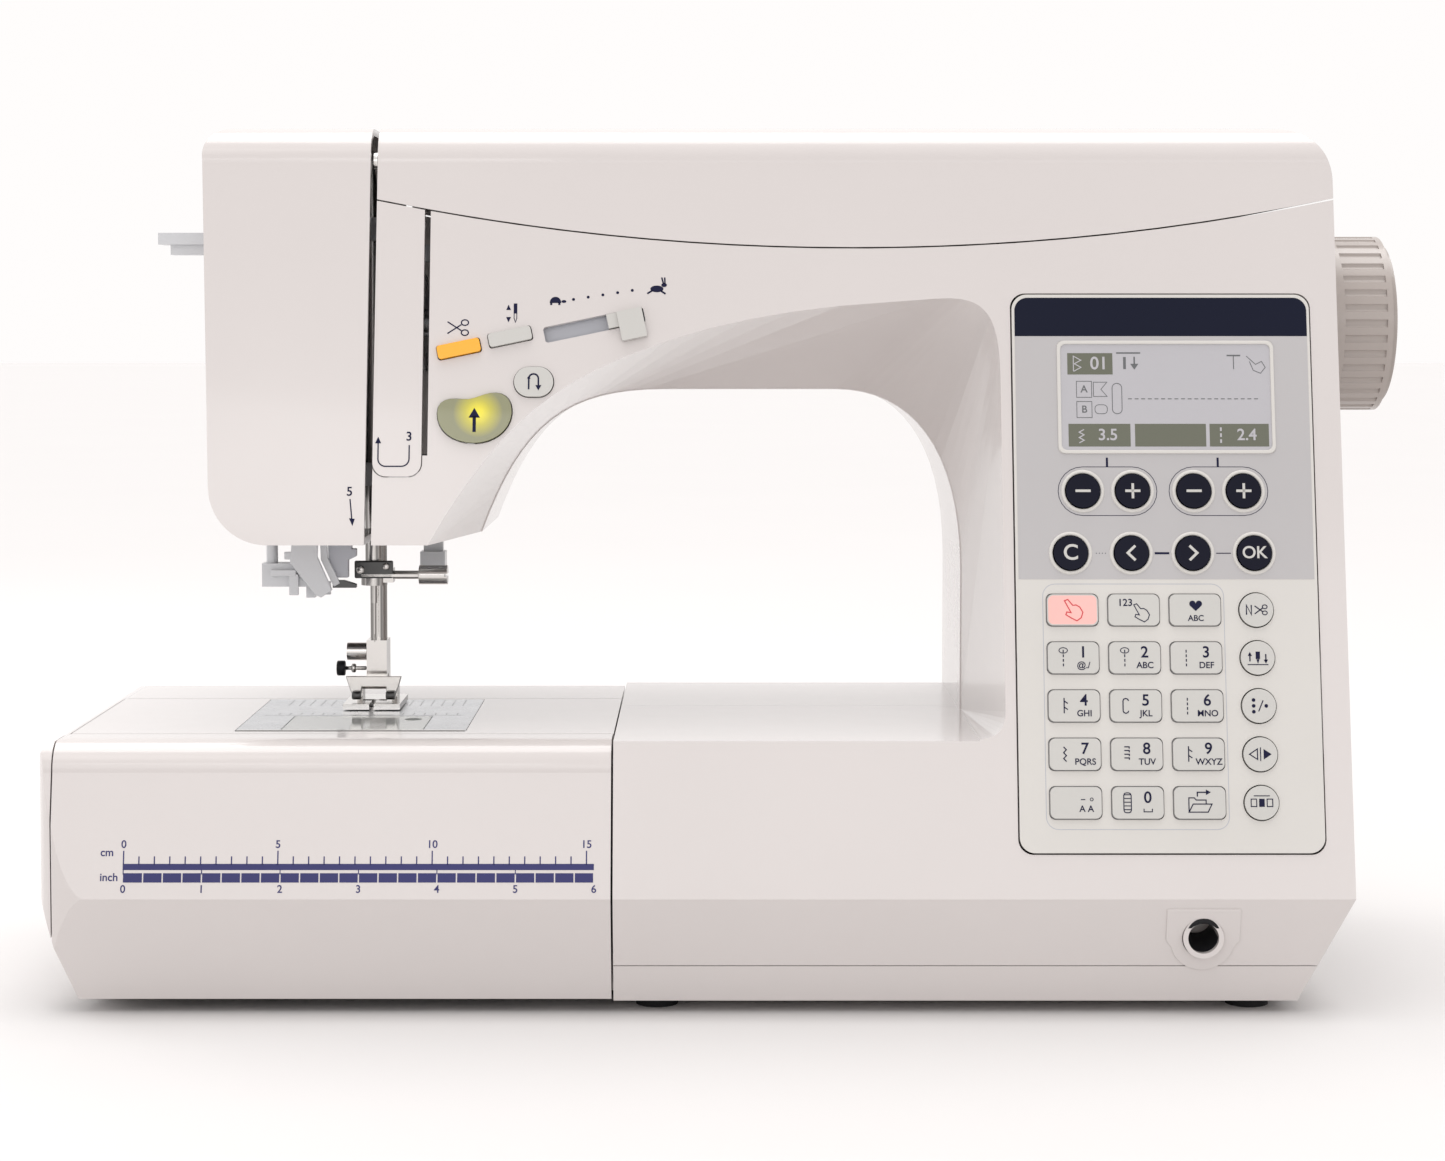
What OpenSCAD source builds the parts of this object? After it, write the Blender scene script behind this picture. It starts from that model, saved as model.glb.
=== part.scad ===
// Computerised free-arm sewing machine with its flat-bed extension table.
// +Z up, +X to the right seen from the front, front towards -Y.
// The origin is under the middle of the machine, on the surface it stands on.

/* [Overall] */
// Distance from the extension table's left end to the handwheel's outer face
width = 456; // [450:1:462]
// Distance from the foremost line of the base to the back of the rear bulge
depth = 186; // [184:1:190]
// Height from the table surface to the top of the lid
height = 291; // [289:1:293]

/* [Body] */
// Height of the sewing surface
bed_z = 89; // [88:1:90]
// Height of the underside of the arm
arm_z = 202; // [200:1:204]
// Height of the underside of the head
head_z = 152; // [150:1:154]
// Distance that the front face leans back for each unit of height
lean = 0.2; // [0.19:0.01:0.21]
// Wall thickness of the plastic shells
wall = 2.4; // [2:0.2:2.8]

/* [Mechanism] */
// Sideways place of the needle
needle_x = -127; // [-128:1:-126]
// Height of the upper shaft and handwheel
shaft_z = 225; // [224:1:226]
// Radius of the handwheel
wheel_r = 30.5; // [29:0.5:31]
// Radius of the upper shaft
shaft_r = 5; // [4:0.5:5]

/* [Controls] */
// Radius of the round keys
key_r = 5.6; // [5:0.2:5.8]
// Sideways pitch of the number keys
key_pitch_x = 20.1; // [19.5:0.1:20.5]
// Pitch of the number keys up the panel
key_pitch_z = 15.4; // [15:0.1:15.6]

/* [Hidden] */

$fn = 64;
gap = 0.5;
press = 0.02;
half_w = width / 2;
front_y = -depth / 2;
back_y = depth / 2;
foot_z = 4;
fore_z = 39;
seam_z = 16;
table_x = -40;
body_right = 201;
base_left = table_x + gap;
head_left = -179;
slot_x = -122;
tongue_x = -103.5;
slot_w = 2.4;
tongue_z = 174.5;
pillar_x = 80;
split_y = 2;
arm_back = 67;
arm_left = -220;
arm_front = -66;
arm_rear = 21;
arm_floor = 42;
top_r = 12;
lid_z = 262;
needle_tip_z = 112;
presser_y = 13;
presser_x = needle_x;
panel_x0 = 92.5;
panel_x1 = 191.5;
panel_z0 = 53.5;
panel_z1 = 234.5;
keys_x = 110.8;
keys_z = 131;
lean_angle = atan(lean);
white = [0.93, 0.91, 0.88];
cream = [0.90, 0.88, 0.82];
grey = [0.62, 0.64, 0.67];
navy = [0.10, 0.12, 0.28];
steel = [0.72, 0.73, 0.75];

// Depth of the leaning front face at a height
function face_y(z) = front_y + lean * (z - fore_z);

// Extrude an XZ outline between two Y values
module xz(y0, y1) translate([0, y1, 0]) rotate([90, 0, 0]) linear_extrude(y1 - y0) children();

// Extrude a YZ outline between two X values
module yz(x0, x1) translate([x0, 0, 0]) rotate([90, 0, 90]) linear_extrude(x1 - x0) children();

// Extrude an XY outline between two Z values
module xy(z0, z1) translate([0, 0, z0]) linear_extrude(z1 - z0) children();

// A box from its two far corners
module block(a, b) translate(a) cube(b - a);

// Rounded rectangle from its corners
module round_rect(x0, z0, x1, z1, r) {
  translate([x0 + r, z0]) square([x1 - x0 - 2 * r, z1 - z0]);
  translate([x0, z0 + r]) square([x1 - x0, z1 - z0 - 2 * r]);
  for (x = [x0 + r, x1 - r], z = [z0 + r, z1 - r]) translate([x, z]) circle(r);
}

// Cylinder along X, Y or Z between two stations
module rod_x(x0, x1, y, z, r) translate([x0, y, z]) rotate([0, 90, 0]) cylinder(h = x1 - x0, r = r);
module rod_y(x, y0, y1, z, r) translate([x, y1, z]) rotate([90, 0, 0]) cylinder(h = y1 - y0, r = r);
module rod_z(x, y, z0, z1, r) translate([x, y, z0]) cylinder(h = z1 - z0, r = r);

// Place children on the leaning face: their X is X, their Y runs up the face and +Z points out of it
module on_face(x, z) translate([x, face_y(z), z]) rotate([90 - lean_angle, 0, 0]) children();

// Side outline of the machine, drawn in by t, from the face to a back plane
module side_outline(t, back) {
  top_y = face_y(height - top_r) + top_r;
  polygon([
    [front_y + 8 + t, foot_z + t],
    [front_y + t, fore_z],
    [face_y(height - top_r) + t, height - top_r],
    [top_y, height - t],
    [back - top_r, height - t],
    [back - t, height - top_r],
    [back - t, foot_z + t]
  ]);
  translate([top_y, height - top_r]) circle(top_r - t);
  translate([back - top_r, height - top_r]) circle(top_r - t);
}

// Points along a cubic curve with the given control points
function curve(p0, p1, p2, p3, n = 10) = [for (i = [0:n]) let (t = i / n, u = 1 - t)
  u * u * u * p0 + 3 * u * u * t * p1 + 3 * u * t * t * p2 + t * t * t * p3];

// Edge of the space between head, arm and pillar, from the head's lower corner round to the pillar
window_edge = concat(
  curve([-88, head_z], [-74, 190], [-58, arm_z], [-24, arm_z], 16),
  curve([36, arm_z], [62, arm_z], [pillar_x, 182], [pillar_x, 138], 16));
// The wider edge of the same space on the front face
crease_edge = concat(
  curve([-101, head_z], [-82, 186], [-55, 222], [36, 231], 16),
  curve([64, 233], [84, 235.5], [88.6, 230], [88.6, 206], 12));
brow_y = -8;

// The space between the bed, the head, the arm and the pillar, grown by t
module harp_outline(t) {
  polygon([
    [-400, bed_z - t],
    [pillar_x + t, bed_z - t],
    for (i = [len(window_edge) - 1:-1:0]) window_edge[i] + t * harp_normal(i),
    [-88 - t, head_z + t],
    [-400, head_z + t]
  ]);
}

// Direction away from the harp space at a point of its edge
function harp_normal(i) =
  let (d = window_edge[min(i + 1, len(window_edge) - 1)] - window_edge[max(i - 1, 0)])
  [-d[1], d[0]] / norm(d);

// Point of a circle at a given angle
function rim(centre, r, angle) = centre + r * [cos(angle), sin(angle)];

// Arm and head with the head's leaning left side and unequal corners, drawn in by t
module head_outline(t) {
  side = 180 + atan(head_lean);
  low = [head_left + head_lean * (height - head_z - 20) + 20, head_z + 20];
  top = [head_left + 9.3, height - 9];
  right = [body_right - 18, height - 18];
  polygon([
    [body_right - t, head_z + t],
    [body_right - t, right[1]],
    [right[0], height - t],
    [top[0], height - t],
    rim(top, 9 - t, side),
    rim(low, 20 - t, side),
    [low[0], head_z + t]
  ]);
  translate(low) circle(20 - t);
  translate(top) circle(9 - t);
  translate(right) circle(18 - t);
}
head_lean = 0.043;

// Front outline of the base, pillar, arm and head, drawn in by t
module front_outline(t) {
  difference() {
    union() {
      head_outline(t);
      polygon([
        [base_left + t, foot_z + t],
        [184 - t, foot_z + t],
        [body_right - t, fore_z],
        [body_right - t, lid_z],
        [base_left + t, lid_z]
      ]);
    }
    harp_outline(t);
  }
}

// Slanted band between the front face and the inner edge of the harp space, grown by t
module brow(t) {
  low = bed_z + 0.4;
  hull() {
    on_face(0, arm_z) translate([0, 0, 0.4]) linear_extrude(12) offset(delta = t)
      polygon([for (p = concat(crease_edge, curve([88.6, low + 9], [88.6, low + 3], [85, low], [79, low], 8),
        [[-101, low]]))
        [p[0], (p[1] - arm_z) / cos(lean_angle)]]);
    xz(brow_y - 0.5, brow_y) offset(delta = t + 0.3)
      polygon(concat(window_edge, [[pillar_x, low], [-88, low]]));
  }
}

// The whole upper machine as one solid, drawn in by t
module machine_solid(t) {
  difference() {
    intersection() {
      xz(front_y - 10, arm_back + 10) front_outline(t);
      yz(-half_w, half_w) side_outline(t, arm_back);
    }
    brow(t);
  }
}

// Bulge behind the pillar that holds the drive, drawn in by t
module rear_bulge(t) {
  xy(seam_z + 8 + t, 240 - t)
    round_rect(pillar_x + 12 + t, arm_back - 20, body_right - 9 - t, back_y - t, 10 - t);
}

module machine_shell() {
  difference() {
    union() {
      machine_solid(0);
      rear_bulge(0);
    }
    machine_solid(wall);
    rear_bulge(wall);
  }
}

// Space above the sagging seam of the lid
module lid_zone(grow) {
  xz(front_y - 20, back_y + 20) translate([seam_x, seam_low + seam_r])
    circle(seam_r + grow, $fn = 720);
}
seam_x = 40;
seam_low = 250;
seam_r = 800;

// Everything below the lid and to the right of the face cover, between two depths
module below_lid(y0, y1) {
  difference() {
    block([slot_x, y0, seam_z + gap / 2], [half_w, y1, height]);
    lid_zone(0);
  }
}

// Opening under the control panel, square to the leaning face
module panel_window(grow, deep) {
  mid_x = (panel_x0 + panel_x1) / 2;
  mid_z = (panel_z0 + panel_z1) / 2;
  size_x = panel_x1 - panel_x0;
  size_z = (panel_z1 - panel_z0) / cos(lean_angle);
  on_face(mid_x, mid_z) translate([0, 0, -deep]) linear_extrude(deep + 10)
    round_rect(-size_x / 2 - grow, -size_z / 2 - grow, size_x / 2 + grow, size_z / 2 + grow, 5);
}

// Prism through the face for a button on the head
module head_key(x, z, tilt, below, above) {
  on_face(x, z) translate([0, 0, -below]) rotate(tilt) linear_extrude(below + above) children();
}

module key_bar(grow) round_rect(-7.2 - grow, -2.3 - grow, 7.2 + grow, 2.3 + grow, 1);

module reverse_shape(grow) {
  translate([-1.5, 0]) circle(5 + grow);
  translate([1.5, 0]) circle(5 + grow);
  square([3, 10 + 2 * grow], center = true);
}

module start_shape(grow) offset(delta = grow) polygon(concat(
  curve([-12.3, 2.2], [-12.3, 6.8], [-8.5, 7.4], [-4, 6.8], 6),
  curve([-4, 6.8], [0, 6.3], [3, 9.2], [7, 9], 6),
  curve([7, 9], [11, 8.8], [12.6, 5.5], [12.3, 2], 6),
  curve([12.3, 2], [11.8, -4], [6, -7.8], [0, -7.8], 8),
  curve([0, -7.8], [-7, -7.8], [-12.3, -4], [-12.3, 2.2], 8)));

module slider_slot(grow) round_rect(-17 - grow, -2.7 - grow, 17 + grow, 2.7 + grow, 1);

trim_x = -91.5;
trim_z = 216.5;
up_down_x = -74.5;
up_down_z = 220.5;
key_tilt = 12;
reverse_x = -66.5;
reverse_z = 205.5;
start_x = -86;
start_z = 193;
slider_x = -46.5;
slider_z = 224.5;
button_deep = 8;

module head_cuts() {
  head_key(trim_x, trim_z, key_tilt, 10, 5) key_bar(0.3);
  head_key(up_down_x, up_down_z, key_tilt, 10, 5) key_bar(0.3);
  head_key(reverse_x, reverse_z, 0, 10, 5) reverse_shape(0.3);
  head_key(start_x, start_z, 0, 10, 5) start_shape(0.3);
  head_key(slider_x, slider_z, key_tilt, 10, 5) slider_slot(0);
}

// Hole in the base's left wall where the frame and lower shaft reach into the free arm
module arm_opening() {
  block([base_left - 1, arm_front + 6, arm_floor + 2], [base_left + 5, arm_rear - 5, bed_z - 5]);
}

// Opening under the head for the needle, the presser and its lifter
module lifter_opening() {
  block([slot_x - 1, -24, head_z - 1], [-102, 40, head_z + 4]);
  block([-103, -5, head_z - 1], [-91.5, 40, head_z + 4]);
}

// Outline of the plate between the two threading slots
module tongue_shape(grow) {
  r = 4.5;
  translate([-grow, r]) square([tongue_w + 2 * grow, 100]);
  translate([r, -grow]) square([tongue_w - 2 * r, 100]);
  for (x = [r, tongue_w - r]) translate([x, r]) circle(r + grow);
}
tongue_w = tongue_x - slot_x - slot_w;

module front_cover() {
  color(white) difference() {
    intersection() {
      machine_shell();
      below_lid(front_y - 10, split_y);
    }
    panel_window(gap, 10);
    head_cuts();
    block([slot_x - 1, front_y, head_z - 1], [slot_x + slot_w, split_y - 6, lid_z + 9]);
    on_face(slot_x + slot_w, tongue_z) translate([0, 0, -8]) linear_extrude(14) {
      tongue_shape(0.35);
      translate([tongue_w - 1, 7]) square([3, 100]);
    }
    lifter_opening();
    rod_y(knee_x, front_y - 5, front_y + 30, knee_z, knee_r - 0.8);
    arm_opening();
    rod_x(body_right - 8, body_right + 6, 0, shaft_z, 12);
  }
  // Ring of the knee-lifter socket
  color(navy) difference() {
    rod_y(knee_x, front_y + 1.2, front_y + 24, knee_z, knee_r);
    rod_y(knee_x, front_y, front_y + 20, knee_z, knee_bore);
  }
}
knee_x = 152;
knee_z = 26;
knee_r = 6.6;
knee_bore = 5;

module rear_cover() {
  color(white) difference() {
    intersection() {
      machine_shell();
      below_lid(split_y + 0.2, back_y + 5);
    }
    lifter_opening();
    block([body_right - 6, -2, shaft_z - 8], [body_right + 6, 8, shaft_z + 8]);
    rod_x(body_right - 8, body_right + 6, 0, shaft_z, 12);
    translate([body_right - 8, inlet_y, inlet_z]) cube([12, 30, 46]);
    arm_opening();
    // Vent slots behind the motor
    for (i = [0:5]) block([120 + 9 * i, back_y - 8, 60], [124 + 9 * i, back_y + 5, 96]);
  }
  color(white) handle_lugs();
  lid_brackets();
}
inlet_y = 18;
inlet_z = 60;

module face_cover() {
  edge_core();
  color(white) difference() {
    intersection() {
      difference() {
        machine_solid(0);
        machine_solid(wall);
      }
      block([-half_w, front_y - 10, 0], [slot_x, back_y, height + 1]);
    }
    // Opening for the needle, presser and threader
    block([-172, -26, head_z - 1], [slot_x + 1, 46, head_z + 9]);
    // Window of the threader lever
    block([-185, lever_y - 3.2, 205], [-171, lever_y + 3.2, lever_z + 6]);
  }
}
lever_y = -22;
lever_z = 254;

// Middle layer of the two rounded top edges, which joins the roof to the front and back walls
module edge_core() {
  color(white) for (side = [-1, 1]) {
    y = side < 0 ? face_y(height - top_r) + top_r : arm_back - top_r;
    intersection() {
      difference() {
        rod_x(-168, slot_x - 0.5, y, height - top_r, top_r - wall / 3);
        rod_x(-169, slot_x, y, height - top_r, top_r - 2 * wall / 3);
      }
      block([-168, min(y - side, y + side * top_r), height - top_r - 1],
        [slot_x, max(y - side, y + side * top_r), height]);
    }
  }
}

module thread_guide_plate() {
  color(white) difference() {
    on_face(slot_x + slot_w, tongue_z) translate([0, 0, -2.4]) linear_extrude(2.6)
      tongue_shape(0);
    lid_zone(0);
  }
}

// Barrel on the lid's back edge and the two brackets that hold its pin
hinge_z = 262;
module lid_barrel() {
  color(white) difference() {
    rod_x(5, 45, arm_back, hinge_z, 2.3);
    rod_x(4, 46, arm_back, hinge_z, 1.2);
  }
}

module lid_brackets() {
  color(white) for (x = [-2, 47]) {
    block([x, arm_back - 1, hinge_z - 24], [x + 5, arm_back + 3.5, hinge_z - 14]);
    block([x, arm_back + 0.4, hinge_z - 24], [x + 5, arm_back + 3.5, hinge_z]);
    rod_x(x, x + 5, arm_back, hinge_z, 2.4);
  }
  color(steel) rod_x(-1, 51, arm_back, hinge_z, 1);
}

module top_lid() {
  color(white) intersection() {
    difference() {
      machine_solid(0);
      machine_solid(wall);
      rod_x(3, 47, arm_back, hinge_z, 1.2);
      for (x = [-2.7, 45.7]) block([x, arm_back - 7, hinge_z - 4], [x + 7, arm_back + 1, hinge_z + 4]);
    }
    block([slot_x + slot_w, front_y - 10, seam_low], [half_w, back_y, height + 1]);
    lid_zone(-gap);
  }
  lid_barrel();
}

// Side outline of the low base and table, drawn in by t
module bed_side(t, back) {
  r = 10;
  polygon([
    [front_y + 8 + t, foot_z + t],
    [front_y + t, fore_z],
    [face_y(bed_z - r) + t, bed_z - r],
    [face_y(bed_z - r) + r, bed_z - t],
    [back - r, bed_z - t],
    [back - t, bed_z - r],
    [back - t, foot_z + t]
  ]);
  translate([face_y(bed_z - r) + r, bed_z - r]) circle(r - t);
  translate([back - r, bed_z - r]) circle(r - t);
}

// Front outline of the extension table, drawn in by t
module table_front(t) {
  r = 9;
  polygon([
    [-half_w + 14 + t, foot_z + t],
    [-half_w + t, fore_z],
    [-half_w + t, bed_z - r],
    [-half_w + r, bed_z - t],
    [table_x - t, bed_z - t],
    [table_x - t, foot_z + t]
  ]);
  translate([-half_w + r, bed_z - r]) circle(r - t);
}

module table_solid(t) {
  intersection() {
    xz(front_y - 5, arm_back + 5) table_front(t);
    yz(-half_w - 5, table_x + 5) bed_side(t, arm_back);
    xy(0, bed_z + 5) translate([0, (front_y + arm_back) / 2]) plan_round(t);
  }
}

// Plan of the table with its two round outer corners
module plan_round(t) {
  half_d = (arm_back - front_y) / 2;
  r = 18;
  translate([-half_w + r, -half_d + t]) square([table_x - t + half_w - r, 2 * (half_d - t)]);
  translate([-half_w + t, -half_d + r]) square([r, 2 * (half_d - r)]);
  for (y = [-half_d + r, half_d - r]) translate([-half_w + r, y]) circle(r - t);
}

// Slot that the free arm slides along
module arm_slot(grow) {
  block([arm_left - grow, arm_front - grow, arm_floor - grow],
    [table_x + 10, arm_rear + grow, bed_z + 10]);
}

lid_left = -222;
lid_back = arm_front - 0.5;
module extension_table() {
  color(white) difference() {
    table_solid(0);
    arm_slot(gap);
    // Hollow under the free arm
    block([-half_w + 16, arm_front + 4, -1], [table_x - 3, arm_rear - 3, arm_floor - 3]);
    // Front compartment, open towards its lid
    block([lid_left - gap, front_y - 5, 0], [table_x + 1, lid_back - 4, bed_z + 5]);
    block([lid_left - gap, front_y - 5, foot_z + 12], [table_x + 1, lid_back + 0.2, bed_z + 5]);
    // Hollow rear box
    intersection() {
      table_solid(wall);
      block([-half_w, arm_rear + 3, -1], [table_x - 3, arm_back, bed_z]);
    }
  }
  // Ears that carry the lid's pins
  color(white) for (x = [lid_left + 12, table_x - 18]) difference() {
    block([x, lid_pin_y - 3, lid_pin_z - 3.5], [x + 5, lid_back - 3, lid_pin_z + 3.5]);
    rod_x(x - 1, x + 6, lid_pin_y, lid_pin_z, 1.6);
  }
}
lid_pin_y = -79;
lid_pin_z = 10.5;
lid_low = foot_z + 0.6;

module accessory_lid() {
  lid_pins();
  color(white) difference() {
    union() {
      intersection() {
        difference() {
          table_solid(0);
          table_solid(2);
        }
        difference() {
          block([lid_left, front_y - 5, lid_low], [table_x - 0.2, lid_back, bed_z + 5]);
          // No floor behind the front wall, so that the lid can swing
          block([lid_left - 1, front_y + 10.5, 0], [table_x, lid_back + 1, foot_z + 12.5]);
        }
      }
      for (x = [lid_left + 18.5, table_x - 23.5])
        block([x, front_y + 8.6, lid_pin_z - 3], [x + 4, lid_pin_y + 4, lid_pin_z + 3]);
    }
    rod_x(-half_w, table_x, lid_pin_y, lid_pin_z, 1.56);
  }
}

module lid_pins() {
  color(steel) for (x = [lid_left + 12, table_x - 24.5]) rod_x(x, x + 11.5, lid_pin_y, lid_pin_z, 1.5);
}

module base_tray() {
  color(white) difference() {
    intersection() {
      machine_solid(0);
      block([base_left, front_y - 5, 0], [half_w, arm_back + 5, seam_z]);
    }
    intersection() {
      machine_solid(wall);
      block([base_left, front_y - 5, foot_z + 3], [half_w, arm_back + 5, seam_z + 1]);
    }
    for (x = [base_left + 14, 170], y = [front_y + 22, arm_back - 14]) rod_z(x, y, 0, 12, 1.6);
  }
  // Bosses around the foot screws
  color(white) for (x = [base_left + 14, 170], y = [front_y + 22, arm_back - 14]) difference() {
    rod_z(x, y, foot_z + 1, seam_z - 1, 5);
    rod_z(x, y, 0, seam_z, 1.6);
  }
}

module foot(x, y) {
  rod_z(x, y, 0, foot_z, 7);
  rod_z(x, y, foot_z, foot_z + 5, 1.5);
}

module rubber_feet() {
  color(navy) {
    for (x = [base_left + 14, 170], y = [front_y + 22, arm_back - 14]) foot(x, y);
  }
}

plate_x0 = -167;
plate_x1 = -89.5;
plate_y0 = -60;
plate_y1 = 19;
plate_t = 1.6;
module free_arm_cover() {
  color(white) difference() {
    block([arm_left, arm_front, arm_floor], [base_left - gap, arm_rear, bed_z]);
    block([arm_left + wall, arm_front + wall, arm_floor + wall],
      [base_left, arm_rear - wall - 1, bed_z - 6]);
    block([arm_left + wall, arm_front + wall, bed_z - 7],
      [plate_x0 - 5, arm_rear - wall - 1, bed_z - wall]);
    block([plate_x1 + 5, arm_front + wall, bed_z - 7], [base_left, arm_rear - wall - 1, bed_z - wall]);
    block([plate_x0, plate_y0, bed_z - plate_t - 0.1], [plate_x1, plate_y1, bed_z + 1]);
    block([plate_x0 + 3, plate_y0 + 3, bed_z - 9], [plate_x1 - 3, plate_y1 - 3, bed_z + 1]);
  }
}

cover_x0 = -152;
cover_x1 = -104;
cover_y1 = -24;
row_pitch = 6;
module needle_plate() {
  color(steel) difference() {
    block([plate_x0 + 0.2, plate_y0 + 0.2, bed_z - plate_t], [plate_x1 - 0.2, plate_y1 - 0.2, bed_z]);
    block([cover_x0, plate_y0 + 3, bed_z - 5], [cover_x1, cover_y1, bed_z + 1]);
    for (side = [-1, 1]) block([needle_x + side * row_pitch - 1.7, -6.5, bed_z - 5],
      [needle_x + side * row_pitch + 1.7, 17.5, bed_z + 1]);
    xy(bed_z - 5, bed_z + 1) translate([needle_x - 4.2, -1.3]) square([8.4, 2.6]);
  }
}

module bobbin_cover() {
  color(cream, 0.5) difference() {
    block([cover_x0 + 0.3, plate_y0 + 3.3, bed_z - 1.6], [cover_x1 - 0.3, cover_y1 - 0.3, bed_z]);
    rod_z(cover_x1 - 6, cover_y1 - 8, bed_z - 0.8, bed_z + 1, 3);
  }
}

module feed_dog() {
  color(steel) {
    for (side = [-1, 1]) {
      block([needle_x + side * row_pitch - 1.1, -3, bed_z - 4.7],
        [needle_x + side * row_pitch + 1.1, 14.5, bed_z - 0.9]);
      for (i = [0:8]) block([needle_x + side * row_pitch - 1.1, -2.6 + 2 * i, bed_z - 1],
        [needle_x + side * row_pitch + 1.1, -1.6 + 2 * i, bed_z - 0.4]);
    }
    block([needle_x - 8, 7, bed_z - 9], [needle_x + 8, 14, bed_z - 4.5]);
  }
}

hook_x = needle_x;
hook_mid_y = -20;
module rotary_hook() {
  color(steel) difference() {
    union() {
      rod_z(hook_x, hook_mid_y, 66, 76.5, 20.5);
      rod_z(hook_x, hook_mid_y, 52, 66, 6);
      rod_z(hook_x, hook_mid_y, 56, 61, 10);
    }
    rod_z(hook_x, hook_mid_y, 68.5, 78, 17.5);
  }
}

module bobbin_case() {
  color([0.12, 0.12, 0.13]) difference() {
    rod_z(hook_x, hook_mid_y, 69.3, 84, 16.8);
    rod_z(hook_x, hook_mid_y, 71.5, 85, 11.6);
  }
}

module bobbin() {
  color(cream, 0.6) difference() {
    union() {
      rod_z(hook_x, hook_mid_y, 72, 73, 10.4);
      rod_z(hook_x, hook_mid_y, 72.5, 82, 4.2);
      rod_z(hook_x, hook_mid_y, 81.5, 82.6, 10.4);
    }
    rod_z(hook_x, hook_mid_y, 70, 84, 3);
  }
}

lower_y = 0;
lower_z = 56;
module lower_shaft() {
  color(steel) {
    rod_x(-100, 150, lower_y, lower_z, 3.5);
    rod_x(138, 148, lower_y, lower_z, 12);
  }
}

module bored_block_x(a, b, y, z, r) {
  difference() {
    block(a, b);
    rod_x(a[0] - 1, b[0] + 1, y, z, r);
  }
}

module bored_block_z(a, b, x, y, r) {
  difference() {
    block(a, b);
    rod_z(x, y, a[2] - 1, b[2] + 1, r);
  }
}

running = 0.05;
presser_r = 3;
needle_bar_r = 3.1;
post_x0 = 110;
post_x1 = 122;
module main_frame() {
  color(steel) {
    // Arm beam and the bracket at its end
    block([-96, 16, 208], [post_x1, 26, 232]);
    bored_block_x([-96, -12, 212], [-90, 17, 238], 0, shaft_z, shaft_r + running);
    block([-104, 10, 172], [-95, 26, 254]);
    // Pivot of the presser lifter
    block([-113, 22, 165], [-100, 26, 175]);
    rod_y(lifter_x, 24, 36, lifter_z, 2);
    // Presser bar guides
    for (z = [172, 247]) bored_block_z([presser_x - 6, 8, z], [-103, 19, z + 6],
      presser_x, presser_y, presser_r + running);
    // Post with its upper and lower bearings
    block([post_x0, 16, 24], [post_x1, 36, 245]);
    bored_block_x([post_x0, -12, 213], [post_x1, 17, 237], 0, shaft_z, shaft_r + running);
    bored_block_x([post_x0, -12, 44], [post_x1, 17, 68], lower_y, lower_z, 3.5 + running);
    // Base plate and the arm that carries the hook
    block([-32, -55, 19.5], [185, 50, 25]);
    block([-32, -40, 24], [-26, 12, 49]);
    difference() {
      union() {
        block([-205, -55, 45], [-26, 12, 49]);
        block([hook_x - 9, hook_mid_y - 9, 48], [hook_x + 9, hook_mid_y + 9, 55]);
      }
      rod_z(hook_x, hook_mid_y, 44, 60, 6 + running);
    }
    bored_block_x([-70, -10, 48], [-62, 10, 66], lower_y, lower_z, 3.5 + running);
  }
}

module upper_shaft() {
  color(steel) {
    rod_x(-109, 203, 0, shaft_z, shaft_r);
    rod_x(203, 222, 0, shaft_z, 4);
    rod_x(-116, -108, 0, shaft_z, 17);
    rod_x(-119.4, -115, 0, shaft_z + 13, 3);
    rod_x(138, 148, 0, shaft_z, 12);
    rod_x(176, 186, 0, shaft_z, 22);
  }
}

module handwheel() {
  wheel_x0 = 204.5;
  color(cream) difference() {
    union() {
      rod_x(wheel_x0, half_w - 2, 0, shaft_z, wheel_r);
      rod_x(half_w - 3, half_w, 0, shaft_z, wheel_r - 3);
    }
    rod_x(half_w - 5, half_w + 1, 0, shaft_z, wheel_r - 9);
    rod_x(wheel_x0 - 1, half_w, 0, shaft_z, 4 + press);
    for (i = [0:35]) translate([0, 0, shaft_z]) rotate([i * 10, 0, 0]) translate([0, 0, -shaft_z])
      rod_x(wheel_x0 + 5, half_w - 4, 0, shaft_z + wheel_r + 0.8, 1.6);
  }
}

motor_y = 62;
motor_z = 120;
module drive_motor() {
  color(steel) difference() {
    union() {
      rod_x(126, 172, motor_y, motor_z, 21);
      block([post_x1, 30, motor_z - 12], [127, 60, motor_z + 12]);
    }
    rod_x(130, 168, motor_y, motor_z, 18);
    rod_x(150, 175, motor_y, motor_z, 3 + running);
  }
}

// Rotor inside the motor with the small pulley on its shaft
module motor_rotor() {
  color([0.1, 0.1, 0.1]) {
    rod_x(134, 164, motor_y, motor_z, 17);
    rod_x(152, 176, motor_y, motor_z, 3);
    rod_x(176, 186, motor_y, motor_z, 7);
  }
}

// Closed belt of the given thickness around two pulleys
module belt(x0, x1, a, ra, b, rb, t) {
  yz(x0, x1) difference() {
    hull() {
      translate(a) circle(ra + 0.4 + t);
      translate(b) circle(rb + 0.4 + t);
    }
    hull() {
      translate(a) circle(ra + 0.4);
      translate(b) circle(rb + 0.4);
    }
  }
}

module drive_belt() {
  color([0.1, 0.1, 0.1]) {
    belt(140, 146, [0, shaft_z], 12, [lower_y, lower_z], 12, 1.2);
    belt(178, 184, [0, shaft_z], 22, [motor_y, motor_z], 7, 1.2);
  }
}

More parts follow.
